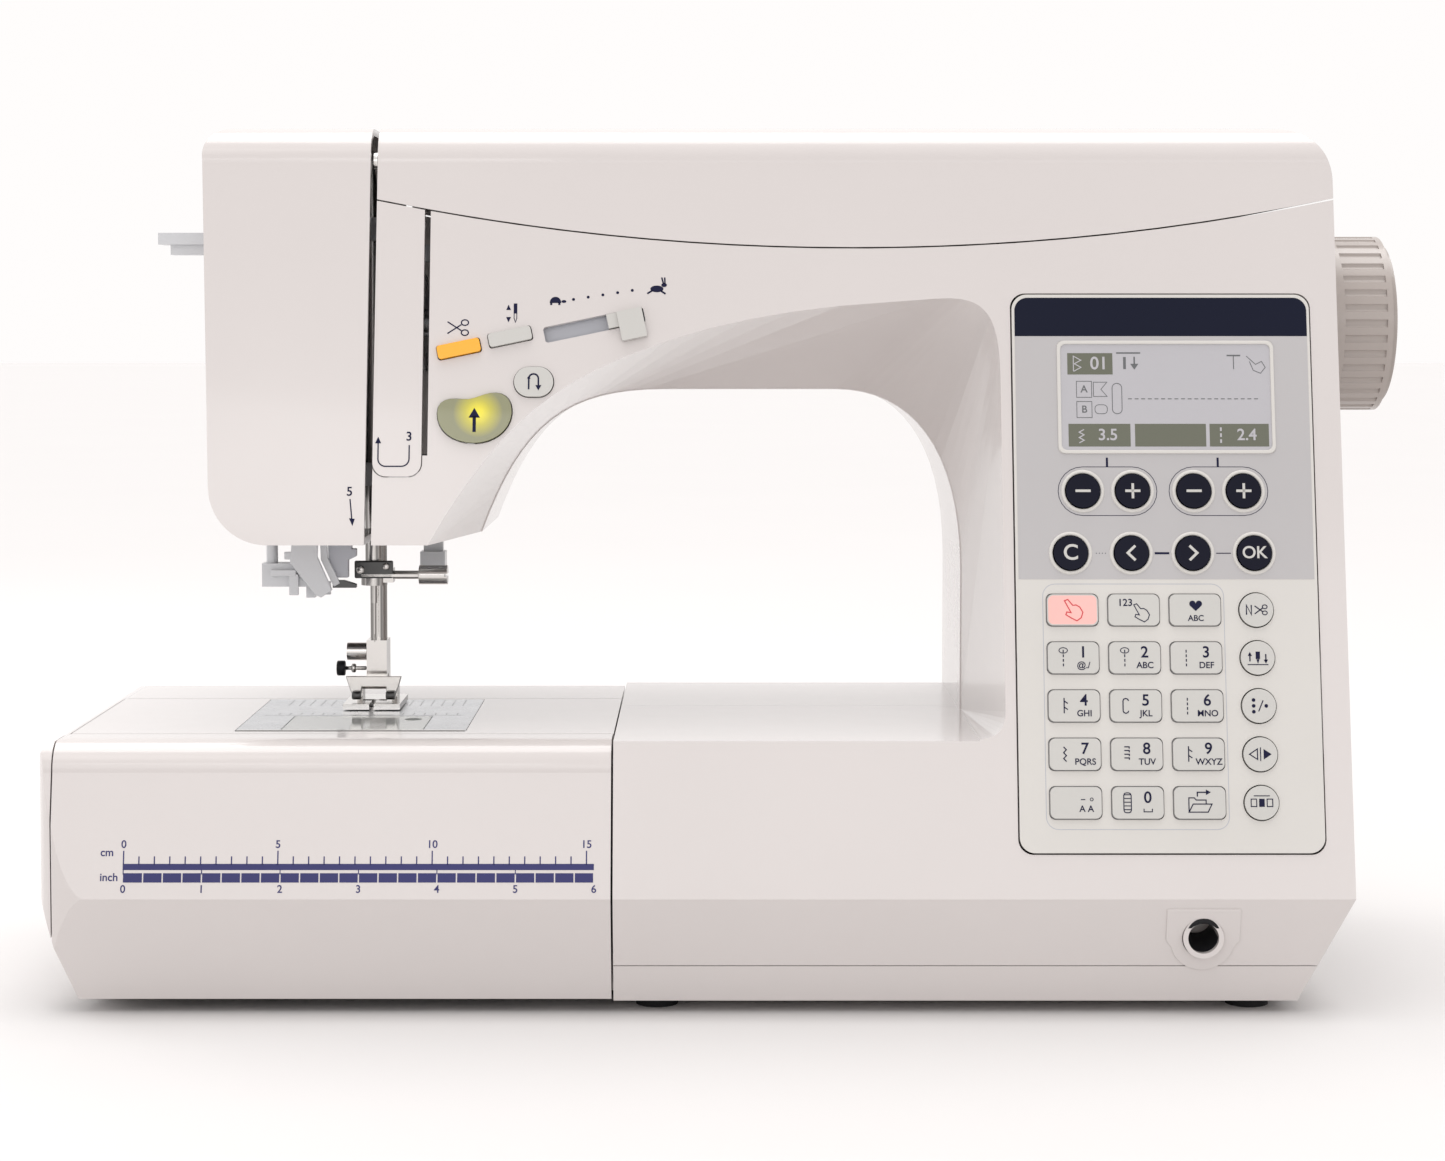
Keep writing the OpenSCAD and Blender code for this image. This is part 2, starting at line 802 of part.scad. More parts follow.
// Swinging frame that carries the needle bar and hangs from a pivot near the lid
frame_pivot_z = 262;
module needle_bar_frame() {
  color(steel) {
    difference() {
      union() {
        for (z = [168, 254]) block([needle_x - 7, -7, z], [needle_x + 4, 4.4, z + 8]);
        block([needle_x - 11, -7, 168], [needle_x - 6, 4, 262]);
      }
      rod_z(needle_x, 0, 160, 270, needle_bar_r + running);
    }
    rod_y(needle_x - 8.5, -14, 12, frame_pivot_z + 3, 4);
  }
}

module needle_bar() {
  color(steel) {
    difference() {
      rod_z(needle_x, 0, 139, 282, needle_bar_r);
      rod_z(needle_x, 0, 130, 143, 1.05);
    }
    // Needle clamp
    difference() {
      union() {
        rod_z(needle_x, 0, 132.5, 139.2, 4.6);
        block([needle_x, -3, 133.5], [needle_x + 7, 3, 138.5]);
      }
      rod_z(needle_x, 0, 130, 140, 1.05);
      rod_x(needle_x, needle_x + 8, 0, 136, 1.55);
    }
  }
}

module needle_clamp_screw() {
  color(steel) {
    rod_x(needle_x + 1.1, needle_x + 20, 0, 136, 1.5);
    difference() {
      rod_x(needle_x + 16, needle_x + 26, 0, 136, 3.4);
      block([needle_x + 25, -4, 135.5], [needle_x + 27, 4, 136.5]);
    }
  }
}

module needle() {
  color(steel) {
    rod_z(needle_x, 0, 126, 142.8, 1);
    rod_z(needle_x, 0, 115, 127, 0.5);
    translate([needle_x, 0, needle_tip_z]) cylinder(h = 3.2, r1 = 0.1, r2 = 0.5);
  }
}

module presser_bar() {
  color(steel) {
    rod_z(presser_x, presser_y, 195, 200, 5.5);
    // Foot holder, stepped forward to the needle line
    difference() {
      union() {
        rod_z(presser_x, presser_y, 108, 262, presser_r);
        block([presser_x - 3.6, 5.5, 97.5], [presser_x + 3.6, 17, 112]);
        block([presser_x - 3.6, 1.8, 97.5], [presser_x + 3.6, 6, 99.6]);
      }
      rod_x(presser_x - 8, presser_x + 8, 10, 97.8, 1.9);
      rod_x(presser_x - 5, presser_x + 1, 11, 107.5, 1.55);
    }
  }
}

module foot_holder_screw() {
  color(steel) {
    rod_x(presser_x - 8, presser_x + 0.8, 11, 107.5, 1.5);
    rod_x(presser_x - 11, presser_x - 4, 11, 107.5, 3.2);
  }
}

foot_pivot_y = 10;
foot_pivot_z = 95.2;
module presser_foot() {
  color(steel) {
    difference() {
      union() {
        block([presser_x - 10, -11, bed_z + 0.4], [presser_x + 10, 16, bed_z + 2.4]);
        for (side = [-1, 1]) block([presser_x + side * 6.2 - 1, 6, bed_z + 2],
          [presser_x + side * 6.2 + 1, 14, 97]);
      }
      block([presser_x - 4.3, -1.8, bed_z], [presser_x + 4.3, 1.8, bed_z + 5]);
      block([presser_x - 0.8, -12, bed_z], [presser_x + 0.8, -1, bed_z + 5]);
    }
    rod_x(presser_x - 6, presser_x + 6, foot_pivot_y, foot_pivot_z, 1.2);
  }
}

lifter_x = -109;
lifter_y = 32;
lifter_z = 170;
module presser_lifter() {
  color(grey) difference() {
    union() {
      rod_y(lifter_x, lifter_y - 3, lifter_y + 3, lifter_z, 6);
      block([lifter_x - 3.5, lifter_y - 2, 141], [lifter_x + 3.5, lifter_y + 2, lifter_z]);
      block([lifter_x - 4.5, lifter_y - 5, 135], [lifter_x + 4.5, lifter_y + 3, 142]);
    }
    rod_y(lifter_x, lifter_y - 5, lifter_y + 5, lifter_z, 2.05);
  }
}

lever_pivot = [8, 238];
module take_up_lever() {
  color(steel) translate([slot_x + 0.5, lever_pivot[0], lever_pivot[1]]) {
    rotate([0, 90, 0]) cylinder(h = 1.3, r = 4.5);
    rotate([137.6, 0, 0]) translate([0, 0, -1.8]) cube([1.3, 62, 3.6]);
    rotate([137.6, 0, 0]) translate([0, 62, 0]) rotate([0, 90, 0]) difference() {
      cylinder(h = 1.3, r = 3);
      translate([0, 0, -1]) cylinder(h = 4, r = 1.2);
    }
  }
}

module threader_lever() {
  color(grey) {
    block([-197, lever_y - 6, lever_z - 2], [-180.5, lever_y + 6, lever_z + 2]);
    block([-193, lever_y - 4.5, lever_z - 5.5], [-181, lever_y + 4.5, lever_z - 1.5]);
    block([-181, lever_y - 2.8, lever_z - 4], [-158, lever_y + 2.8, lever_z + 1.5]);
    rod_z(-160, lever_y + 2, 150, lever_z + 4, 2);
  }
}

module threader_head() {
  color(grey) {
    rod_z(-160, lever_y + 2, 136, 149.8, 2);
    block([-163, lever_y - 2, 134], [-146, lever_y + 6, 142]);
    block([-148, lever_y, 130], [-145, -9, 141]);
    block([-148, -16, 130.5], [-140.5, -13.5, 135]);
  }
}

module thread_cutter() {
  color(cream) difference() {
    xz(-12, 10) polygon([[-174.2, 160], [-175.4, 162], [-178.2, 170], [-179, 180], [-177.5, 183],
      [-174.8, 183]]);
    block([-190, -3, 168], [-176, -1.6, 190]);
  }
}

mid_x = (panel_x0 + panel_x1) / 2;
mid_z = (panel_z0 + panel_z1) / 2;
adjust_z = 169.6;
adjust_x = [115, 131.4, 151.6, 168];
menu_z = 149.4;
menu_x = [110.6, 130.6, 150.8, 171];
lcd_x = 143.2;
lcd_z = 200.5;
lcd_w = 72;
lcd_h = 38;
board_deep = 13;

module soft_key_shape(grow) round_rect(-8.3 - grow, -5.1 - grow, 8.3 + grow, 5.1 + grow, 2);

module each_number_key() {
  for (row = [0:4], col = [0:2])
    on_face(keys_x + col * key_pitch_x, keys_z - row * key_pitch_z) children();
}

module each_function_key() {
  for (row = [0:4]) on_face(keys_x + 3 * key_pitch_x, keys_z - row * key_pitch_z) children();
}

module each_round_key() {
  for (x = adjust_x) on_face(x, adjust_z) children();
  for (x = menu_x) on_face(x, menu_z) children();
}

module control_panel() {
  color(cream) difference() {
    intersection() {
      panel_window(0, 2.6);
      on_face(mid_x, mid_z) translate([0, 0, -5]) linear_extrude(5.5) square([200, 300], center = true);
    }
    on_face(lcd_x, lcd_z) translate([0, 0, -5]) linear_extrude(10)
      square([lcd_w - 8, lcd_h - 8], center = true);
    each_round_key() translate([0, 0, -5]) cylinder(h = 10, r = key_r + 0.35);
    each_function_key() translate([0, 0, -5]) cylinder(h = 10, r = key_r + 0.3);
    each_number_key() translate([0, 0, -5]) linear_extrude(10) soft_key_shape(0.35);
  }
}

module lcd_display() {
  color([0.55, 0.60, 0.55]) on_face(lcd_x, lcd_z) {
    translate([0, 0, -2.5]) linear_extrude(2) square([lcd_w - 8.4, lcd_h - 8.4], center = true);
    translate([0, 0, -6]) linear_extrude(3) square([lcd_w + 4, lcd_h - 4], center = true);
  }
}

module circuit_board() {
  color([0.1, 0.35, 0.2]) on_face(mid_x, mid_z) translate([0, 0, -board_deep]) {
    linear_extrude(1.6) square([92, 172], center = true);
    for (i = [-1, 0, 1]) translate([-20, 40 * i, -5]) linear_extrude(5.2) square([14, 20], center = true);
  }
}

module round_key(x, z) {
  color(navy) on_face(x, z) {
    translate([0, 0, -5]) cylinder(h = 6.6, r = key_r);
    translate([0, 0, -8]) cylinder(h = 3.5, r = 1.5);
  }
}

module adjust_key(i) round_key(adjust_x[i], adjust_z);
module menu_key(i) round_key(menu_x[i], menu_z);

// One moulded pad with a raised cap for each key
module pad(x0, x1) {
  color(cream) on_face((x0 + x1) / 2, keys_z - 2 * key_pitch_z) translate([0, 0, -6.6]) linear_extrude(2)
    square([x1 - x0, 5.1 * key_pitch_z], center = true);
}

module number_keys() {
  pad(keys_x - 9.5, keys_x + 2 * key_pitch_x + 9.5);
  color(cream) each_number_key() translate([0, 0, -5]) linear_extrude(6.4) soft_key_shape(0);
}

module function_keys() {
  x = keys_x + 3 * key_pitch_x;
  pad(x - 6.5, x + 6.5);
  color(cream) each_function_key() translate([0, 0, -5]) cylinder(h = 6.4, r = key_r - 0.1);
}

module start_stop_button() {
  color([0.5, 0.52, 0.38]) head_key(start_x, start_z, 0, button_deep, 1.4) start_shape(0);
}

module reverse_button() {
  color(cream) head_key(reverse_x, reverse_z, 0, button_deep, 1.2) reverse_shape(0);
}

module needle_position_button() {
  color(cream) head_key(up_down_x, up_down_z, key_tilt, button_deep, 1.4) key_bar(0);
}

module thread_trim_button() {
  color([0.98, 0.62, 0.08]) head_key(trim_x, trim_z, key_tilt, button_deep, 1.4) key_bar(0);
}

module speed_slider() {
  color(cream) on_face(slider_x, slider_z) rotate(key_tilt) {
    translate([4.5, -2.4, -7]) cube([12, 4.8, 8.2]);
    translate([3.5, -4.4, -7]) cube([13, 8.8, 3]);
    translate([8, -7.6, 0.4]) cube([8.5, 10, 2]);
  }
}

tray_rear = arm_back - 18;
module top_tray() {
  color(cream) difference() {
    union() {
      block([-60, -30, lid_z - 14], [90, tray_rear, lid_z - 1]);
      block([90, -30, lid_z - 4], [190, tray_rear, lid_z - 1]);
    }
    block([-57, -27, lid_z - 11.5], [87, tray_rear - 3, lid_z + 1]);
    rod_z(winder_x, winder_y, lid_z - 8, lid_z + 2, 4.4);
    block([tension_x - 6.5, -31, lid_z - 5], [tension_x + 6.5, 20, lid_z + 2]);
  }
}
winder_x = 150;
winder_y = 10;
tension_x = 96;

module spool_pin() {
  color(cream) {
    rod_x(-45, 60, 34, lid_z + 6, 2.6);
    block([56, 30, lid_z - 11.4], [62, 38, lid_z + 9]);
    difference() {
      rod_x(-44, -40, 34, lid_z + 6, 13);
      rod_x(-45, -39, 34, lid_z + 6, 2.62);
    }
  }
}

module bobbin_winder() {
  color(steel) {
    rod_z(winder_x, winder_y, lid_z - 22, lid_z + 14, 2.9);
    rod_z(winder_x, winder_y, lid_z + 0.5, lid_z + 2, 9);
    rod_z(winder_x, winder_y, lid_z - 22, lid_z - 16, 8);
  }
}

module tension_dial() {
  color(cream) {
    rod_x(tension_x - 3, tension_x + 3, 0, lid_z - 2, 12);
    rod_x(tension_x - 6, tension_x + 6, 0, lid_z - 2, 2.4);
  }
}

handle_x0 = -70;
handle_x1 = 70;
handle_pivot_y = 73;
handle_pivot_z = 256;
module carry_handle() {
  color(white) {
    for (x = [handle_x0, handle_x1 - 10]) {
      block([x, handle_pivot_y - 4, handle_pivot_z - 46], [x + 10, handle_pivot_y + 5, handle_pivot_z]);
      rod_x(x, x + 10, handle_pivot_y, handle_pivot_z, 5.5);
    }
    block([handle_x0, handle_pivot_y - 4, handle_pivot_z - 53],
      [handle_x1, handle_pivot_y + 5, handle_pivot_z - 43]);
    rod_x(handle_x0 - 6, handle_x0 + 1, handle_pivot_y, handle_pivot_z, 3);
    rod_x(handle_x1 - 1, handle_x1 + 6, handle_pivot_y, handle_pivot_z, 3);
  }
}

// Lugs on the rear cover that hold the handle's trunnions
module handle_lugs() {
  for (x = [handle_x0 - 7.5, handle_x1 + 1.5]) difference() {
    union() {
      block([x, arm_back + 0.4, handle_pivot_z - 14], [x + 6, handle_pivot_y + 5, handle_pivot_z + 5]);
      block([x, arm_back - 1, handle_pivot_z - 14], [x + 6, arm_back + 1, handle_pivot_z - 7]);
    }
    rod_x(x - 1, x + 7, handle_pivot_y, handle_pivot_z, 3 + running);
  }
}

module power_inlet() {
  x1 = body_right + 0.5;
  color([0.08, 0.08, 0.09]) difference() {
    block([x1 - 22, inlet_y + 0.4, inlet_z + 0.4], [x1, inlet_y + 29.6, inlet_z + 21]);
    block([x1 - 16, inlet_y + 5, inlet_z + 4], [x1 + 1, inlet_y + 25, inlet_z + 17]);
  }
  color(steel) for (y = [inlet_y + 10.5, inlet_y + 19.5]) rod_x(x1 - 17, x1 - 4, y, inlet_z + 10.5, 1.2);
}

module power_switch() {
  x1 = body_right + 0.5;
  y = inlet_y + 15;
  color([0.08, 0.08, 0.09]) {
    rod_y(x1 - 8, y - 9, y + 9, inlet_z + 34, 2);
    block([x1 - 8, y - 7, inlet_z + 26], [x1 + 1, y + 7, inlet_z + 42]);
  }
}

base_tray();
rubber_feet();
front_cover();
rear_cover();
face_cover();
thread_guide_plate();
top_lid();
top_tray();
main_frame();
free_arm_cover();
needle_plate();
bobbin_cover();
extension_table();
accessory_lid();
control_panel();
lcd_display();
circuit_board();
adjust_key(0);  // adjust_key_1
adjust_key(1);  // adjust_key_2
adjust_key(2);  // adjust_key_3
adjust_key(3);  // adjust_key_4
menu_key(0);  // menu_key_1
menu_key(1);  // menu_key_2
menu_key(2);  // menu_key_3
menu_key(3);  // menu_key_4
number_keys();
function_keys();
start_stop_button();
reverse_button();
needle_position_button();
thread_trim_button();
speed_slider();
thread_cutter();
threader_lever();
threader_head();
needle_bar();
needle_clamp_screw();
needle();
presser_bar();
foot_holder_screw();
presser_foot();
presser_lifter();
take_up_lever();
upper_shaft();
handwheel();
drive_motor();
drive_belt();
lower_shaft();
rotary_hook();
bobbin_case();
bobbin();
feed_dog();
spool_pin();
bobbin_winder();
tension_dial();
carry_handle();
needle_bar_frame();
motor_rotor();
power_inlet();
power_switch();
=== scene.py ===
"""Looks of the sewing machine: materials, edges, printed marks and small visible pieces."""
import math

import bmesh
import bpy
from mathutils import Matrix, Vector


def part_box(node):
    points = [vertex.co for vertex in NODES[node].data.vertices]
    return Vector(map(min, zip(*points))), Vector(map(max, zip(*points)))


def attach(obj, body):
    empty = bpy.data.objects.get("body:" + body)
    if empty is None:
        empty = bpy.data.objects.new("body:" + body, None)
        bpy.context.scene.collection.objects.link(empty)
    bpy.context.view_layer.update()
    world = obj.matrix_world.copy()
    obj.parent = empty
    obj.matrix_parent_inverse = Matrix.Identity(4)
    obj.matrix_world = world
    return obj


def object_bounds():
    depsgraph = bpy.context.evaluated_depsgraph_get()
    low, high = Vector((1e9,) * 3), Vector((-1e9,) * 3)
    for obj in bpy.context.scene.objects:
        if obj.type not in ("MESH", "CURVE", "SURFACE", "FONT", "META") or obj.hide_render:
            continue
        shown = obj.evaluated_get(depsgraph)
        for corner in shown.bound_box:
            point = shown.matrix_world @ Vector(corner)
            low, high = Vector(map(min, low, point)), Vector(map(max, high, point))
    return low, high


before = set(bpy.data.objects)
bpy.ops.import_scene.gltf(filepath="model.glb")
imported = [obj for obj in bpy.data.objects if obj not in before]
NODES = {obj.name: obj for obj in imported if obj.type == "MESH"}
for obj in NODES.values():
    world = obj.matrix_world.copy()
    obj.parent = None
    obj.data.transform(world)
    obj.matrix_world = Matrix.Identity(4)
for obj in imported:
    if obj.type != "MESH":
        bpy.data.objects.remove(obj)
cad_low, cad_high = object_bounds()
MM = 0.001
ROOT = "machine"

# Places worked out from the frame
panel_low, panel_high = [Vector(corner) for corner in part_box("control_panel")]
plate_low, plate_high = [Vector(corner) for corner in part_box("needle_plate")]
FRONT_Y = cad_low[1]
BED_Z = plate_high.z

# The front face leans back above its foremost line
LEAN = 0.2
LEAN_ANGLE = math.atan(LEAN)
FORE_Z = 39 * MM

# How far a printed mark reaches below the surface it lies on, in millimetres
SUNK = 0.15
NEEDLE_X = -127


def face_y(z):
    """Depth of the leaning front face at a height."""
    return FRONT_Y + LEAN * (z - FORE_Z)


def face_matrix(x, z, out=0.0):
    """Local X along X, local Y up the leaning face, local Z out of it."""
    place = Matrix.Translation((x, face_y(z), z)) @ Matrix.Rotation(math.pi / 2 - LEAN_ANGLE, 4, "X")
    return place @ Matrix.Translation((0, 0, out))


# ---------------------------------------------------------------- materials

def new_material(name):
    mat = bpy.data.materials.new(name)
    mat.use_nodes = True
    return mat, mat.node_tree.nodes, mat.node_tree.links, mat.node_tree.nodes["Principled BSDF"]


def add_noise(nodes, links, scale, detail=3.0):
    coords = nodes.new("ShaderNodeTexCoord")
    noise = nodes.new("ShaderNodeTexNoise")
    noise.inputs["Scale"].default_value = scale
    noise.inputs["Detail"].default_value = detail
    links.new(coords.outputs["Object"], noise.inputs["Vector"])
    return noise


def vary_colour(nodes, links, bsdf, low, high, scale):
    noise = add_noise(nodes, links, scale)
    ramp = nodes.new("ShaderNodeValToRGB")
    ramp.color_ramp.elements[0].position = 0.3
    ramp.color_ramp.elements[1].position = 0.7
    ramp.color_ramp.elements[0].color = (*low, 1)
    ramp.color_ramp.elements[1].color = (*high, 1)
    links.new(noise.outputs["Fac"], ramp.inputs["Fac"])
    links.new(ramp.outputs["Color"], bsdf.inputs["Base Color"])


def vary_roughness(nodes, links, bsdf, low, high, scale):
    noise = add_noise(nodes, links, scale, 4.0)
    span = nodes.new("ShaderNodeMapRange")
    span.inputs["To Min"].default_value = low
    span.inputs["To Max"].default_value = high
    links.new(noise.outputs["Fac"], span.inputs["Value"])
    links.new(span.outputs["Result"], bsdf.inputs["Roughness"])


def add_bump(nodes, links, bsdf, scale, strength, distance):
    noise = add_noise(nodes, links, scale, 2.0)
    bump = nodes.new("ShaderNodeBump")
    bump.inputs["Strength"].default_value = strength
    bump.inputs["Distance"].default_value = distance
    links.new(noise.outputs["Fac"], bump.inputs["Height"])
    links.new(bump.outputs["Normal"], bsdf.inputs["Normal"])


def plastic(name, colour, rough=0.3, coat=0.0, grain=0.02, shade=0.96):
    """Moulded plastic with a faint flow mottle, uneven gloss and fine texture."""
    mat, nodes, links, bsdf = new_material(name)
    vary_colour(nodes, links, bsdf, [c * shade for c in colour], colour, 14)
    vary_roughness(nodes, links, bsdf, rough * 0.88, rough * 1.12, 60)
    add_bump(nodes, links, bsdf, 1800, grain, 0.00005)
    bsdf.inputs["Coat Weight"].default_value = coat
    bsdf.inputs["Coat Roughness"].default_value = 0.07
    bsdf.inputs["IOR"].default_value = 1.5 if max(colour) > 0.1 else 1.25
    return mat


def metal(name, colour, rough=0.22, brushed=False):
    """Plated or brushed metal with fine scratches."""
    mat, nodes, links, bsdf = new_material(name)
    bsdf.inputs["Metallic"].default_value = 1.0
    vary_colour(nodes, links, bsdf, [c * 0.9 for c in colour], colour, 90)
    vary_roughness(nodes, links, bsdf, rough * 0.75, rough * 1.3, 140)
    coords = nodes.new("ShaderNodeTexCoord")
    stretch = nodes.new("ShaderNodeMapping")
    stretch.inputs["Scale"].default_value = (40, 1500, 1500) if brushed else (900, 900, 900)
    noise = nodes.new("ShaderNodeTexNoise")
    noise.inputs["Scale"].default_value = 1.0
    bump = nodes.new("ShaderNodeBump")
    bump.inputs["Strength"].default_value = 0.12 if brushed else 0.03
    bump.inputs["Distance"].default_value = 0.00005
    links.new(coords.outputs["Object"], stretch.inputs["Vector"])
    links.new(stretch.outputs["Vector"], noise.inputs["Vector"])
    links.new(noise.outputs["Fac"], bump.inputs["Height"])
    links.new(bump.outputs["Normal"], bsdf.inputs["Normal"])
    return mat


def banded_chrome(name):
    """Plated rods and screws with painted reflections: brightness follows the side a surface faces, as in a
    soft-lit studio.
    """
    mat, nodes, links, bsdf = new_material(name)
    bsdf.inputs["Metallic"].default_value = 1.0
    geo = nodes.new("ShaderNodeNewGeometry")
    split = nodes.new("ShaderNodeSeparateXYZ")
    turn = nodes.new("ShaderNodeMapRange")
    turn.inputs["From Min"].default_value = -1.0
    turn.inputs["From Max"].default_value = 1.0
    ramp = nodes.new("ShaderNodeValToRGB")
    # Painted reflection bands: the base colour is set by which way the surface faces
    reflection_bands = [(0.16, 0.20), (0.27, 0.70), (0.38, 0.34), (0.5, 0.72), (0.60, 0.60), (0.70, 0.17), (0.82, 0.40)]
    ramp.color_ramp.elements[0].color = (0.14, 0.13, 0.12, 1)
    ramp.color_ramp.elements[1].color = (0.12, 0.11, 0.10, 1)
    for place, level in reflection_bands:
        stop = ramp.color_ramp.elements.new(place)
        stop.color = (level, level * 0.97, level * 0.94, 1)
    links.new(geo.outputs["Normal"], split.inputs["Vector"])
    links.new(split.outputs["X"], turn.inputs["Value"])
    links.new(turn.outputs["Result"], ramp.inputs["Fac"])
    links.new(ramp.outputs["Color"], bsdf.inputs["Base Color"])
    vary_roughness(nodes, links, bsdf, 0.12, 0.24, 140)
    return mat


def clear_plastic(name, colour):
    mat, nodes, links, bsdf = new_material(name)
    vary_colour(nodes, links, bsdf, [c * 0.97 for c in colour], colour, 20)
    vary_roughness(nodes, links, bsdf, 0.06, 0.12, 40)
    bsdf.inputs["Transmission Weight"].default_value = 0.6
    bsdf.inputs["IOR"].default_value = 1.49
    return mat


def glowing_key(name):
    """Olive translucent button; the glow of a yellow lamp behind its upper half is painted into its colour.
    """
    mat, nodes, links, bsdf = new_material(name)
    low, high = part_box("start_stop_button")
    lamp_right, lamp_height = 1.2 * MM, 0.66
    glow_near, glow_far = 1.5 * MM, 8.5 * MM
    centre = Vector(((low[0] + high[0]) / 2 + lamp_right, low[1], low[2] + (high[2] - low[2]) * lamp_height))
    coords = nodes.new("ShaderNodeTexCoord")
    away = nodes.new("ShaderNodeVectorMath")
    away.operation = "DISTANCE"
    away.inputs[1].default_value = centre
    links.new(coords.outputs["Object"], away.inputs[0])
    # Painted glow: yellow near the lamp's place, olive further off
    ramp = nodes.new("ShaderNodeValToRGB")
    ramp.color_ramp.elements[0].position = 0.0
    ramp.color_ramp.elements[0].color = (0.90, 0.78, 0.02, 1)
    ramp.color_ramp.elements[1].position = 1.0
    ramp.color_ramp.elements[1].color = (0.235, 0.235, 0.13, 1)
    middle = ramp.color_ramp.elements.new(0.45)
    middle.color = (0.52, 0.47, 0.05, 1)
    span = nodes.new("ShaderNodeMapRange")
    span.inputs["From Min"].default_value = glow_near
    span.inputs["From Max"].default_value = glow_far
    links.new(away.outputs["Value"], span.inputs["Value"])
    links.new(span.outputs["Result"], ramp.inputs["Fac"])
    links.new(ramp.outputs["Color"], bsdf.inputs["Base Color"])
    bsdf.inputs["Roughness"].default_value = 0.22
    bsdf.inputs["Coat Weight"].default_value = 0.5
    return mat


MATS = {
    "white": plastic("warm white gloss plastic", (0.625, 0.585, 0.572), 0.2, 0.5, 0.008, 0.98),
    "cream": plastic("cream plastic", (0.64, 0.59, 0.50), 0.36, 0.1),
    "light": plastic("light grey key plastic", (0.55, 0.54, 0.515), 0.33, 0.1),
    "wheel": plastic("handwheel plastic", (0.39, 0.345, 0.32), 0.3, 0.2),
    "grey": plastic("grey plastic", (0.44, 0.45, 0.49), 0.34),
    # Painted shade for the gaps round the number keys
    "rim": plastic("shaded key rim", (0.27, 0.265, 0.27), 0.5),
    "navy": plastic("navy key plastic", (0.003, 0.0035, 0.014), 0.3, 0.0, 0.02, 0.85),
    "orange": plastic("orange key plastic", (0.93, 0.42, 0.02), 0.25, 0.4),
    # The lit key's glow, painted as a pink colour
    "pink": plastic("lit pink key", (0.93, 0.50, 0.46), 0.35),
    "black": plastic("black plastic", (0.014, 0.014, 0.016), 0.38, 0.0, 0.05, 0.7),
    "rubber": plastic("black rubber", (0.02, 0.02, 0.021), 0.75, 0.0, 0.3, 0.7),
    "panel": plastic("lower panel plastic", (0.63, 0.61, 0.58), 0.34, 0.1),
    "silver": plastic("silver panel film", (0.46, 0.445, 0.45), 0.36, 0.2, 0.04),
    "board": plastic("circuit board", (0.03, 0.20, 0.08), 0.4),
    "screen": plastic("screen glass", (0.46, 0.45, 0.475), 0.14, 0.3, 0.0),
    "screen_ink": plastic("screen segments", (0.12, 0.125, 0.13), 0.3),
    "olive_ink": plastic("screen label", (0.125, 0.13, 0.095), 0.3),
    "ink": plastic("navy printing ink", (0.008, 0.009, 0.04), 0.45, 0.0, 0.02, 0.85),
    "blue_ink": plastic("blue printing ink", (0.022, 0.022, 0.13), 0.45, 0.0, 0.02, 0.85),
    "navy_ink": plastic("navy printing ink", (0.004, 0.006, 0.021), 0.45, 0.0, 0.02, 0.85),
    "red_ink": plastic("red printing ink", (0.60, 0.05, 0.06), 0.4),
    "steel": metal("brushed steel", (0.60, 0.61, 0.63), 0.26, True),
    # Chrome with the reflections of a soft-lit studio painted into its colour
    "chrome": banded_chrome("plated steel with painted reflections"),
    "dark_steel": metal("blackened steel", (0.10, 0.10, 0.10), 0.3),
    "lever": plastic("pale lever plastic", (0.60, 0.61, 0.63), 0.3, 0.1),
    "cast": metal("cast alloy", (0.50, 0.51, 0.53), 0.42),
    "clear": clear_plastic("clear plastic", (0.80, 0.82, 0.80)),
    # Start key with the glow of its lamp painted into its colour
    "glow": glowing_key("lit start key"),
}

NODE_MATS = {
    "cream": ["top_tray", "bobbin_winder", "tension_dial", "spool_pin", "thread_cutter"],
    "wheel": ["handwheel"],
    "light": ["number_keys", "function_keys", "reverse_button", "needle_position_button", "speed_slider"],
    "lever": ["threader_lever", "threader_head", "presser_lifter"],
    "navy": [n for n in NODES if n[:-1].endswith("_key_")],
    "rubber": ["rubber_feet", "drive_belt"],
    "black": ["motor_rotor", "power_inlet", "power_switch", "bobbin_case"],
    "clear": ["bobbin", "bobbin_cover"],
    "orange": ["thread_trim_button"],
    "glow": ["start_stop_button"],
    "cast": ["main_frame", "needle_bar_frame"],
    "steel": ["upper_shaft", "lower_shaft", "needle_plate", "feed_dog", "rotary_hook", "drive_motor"],
    "chrome": ["needle_bar", "needle", "needle_clamp_screw", "presser_bar", "foot_holder_screw",
               "presser_foot", "take_up_lever"],
    "board": ["circuit_board"],
    "screen": ["lcd_display"],
    "panel": ["control_panel"],
}
MAT_OF = {node: key for key, nodes in NODE_MATS.items() for node in nodes}

BEVELS = {
    "front_cover": 1.2, "rear_cover": 1.2, "face_cover": 2.2, "top_lid": 0.8, "extension_table": 1.0,
    "accessory_lid": 1.0, "base_tray": 1.0, "carry_handle": 2.0, "control_panel": 0.35,
    "handwheel": 1.0, "free_arm_cover": 0.5, "needle_plate": 0.25, "thread_guide_plate": 0.6,
}


def smooth_edges(obj, width_mm):
    """Round the edges of a CAD node with modifiers only."""
    flat = obj.modifiers.new("flat", "DECIMATE")
    flat.decimate_type = "DISSOLVE"
    flat.angle_limit = math.radians(0.6)
    bevel = obj.modifiers.new("bevel", "BEVEL")
    bevel.width = width_mm * MM
    bevel.segments = 3
    bevel.limit_method = "ANGLE"
    bevel.angle_limit = math.radians(30)
    bevel.use_clamp_overlap = True
    bevel.harden_normals = True
    for polygon in obj.data.polygons:
        polygon.use_smooth = True
    normals = obj.modifiers.new("normals", "WEIGHTED_NORMAL")
    normals.keep_sharp = True
    normals.mode = "CORNER_ANGLE" if obj.name == "front_cover" else "FACE_AREA"


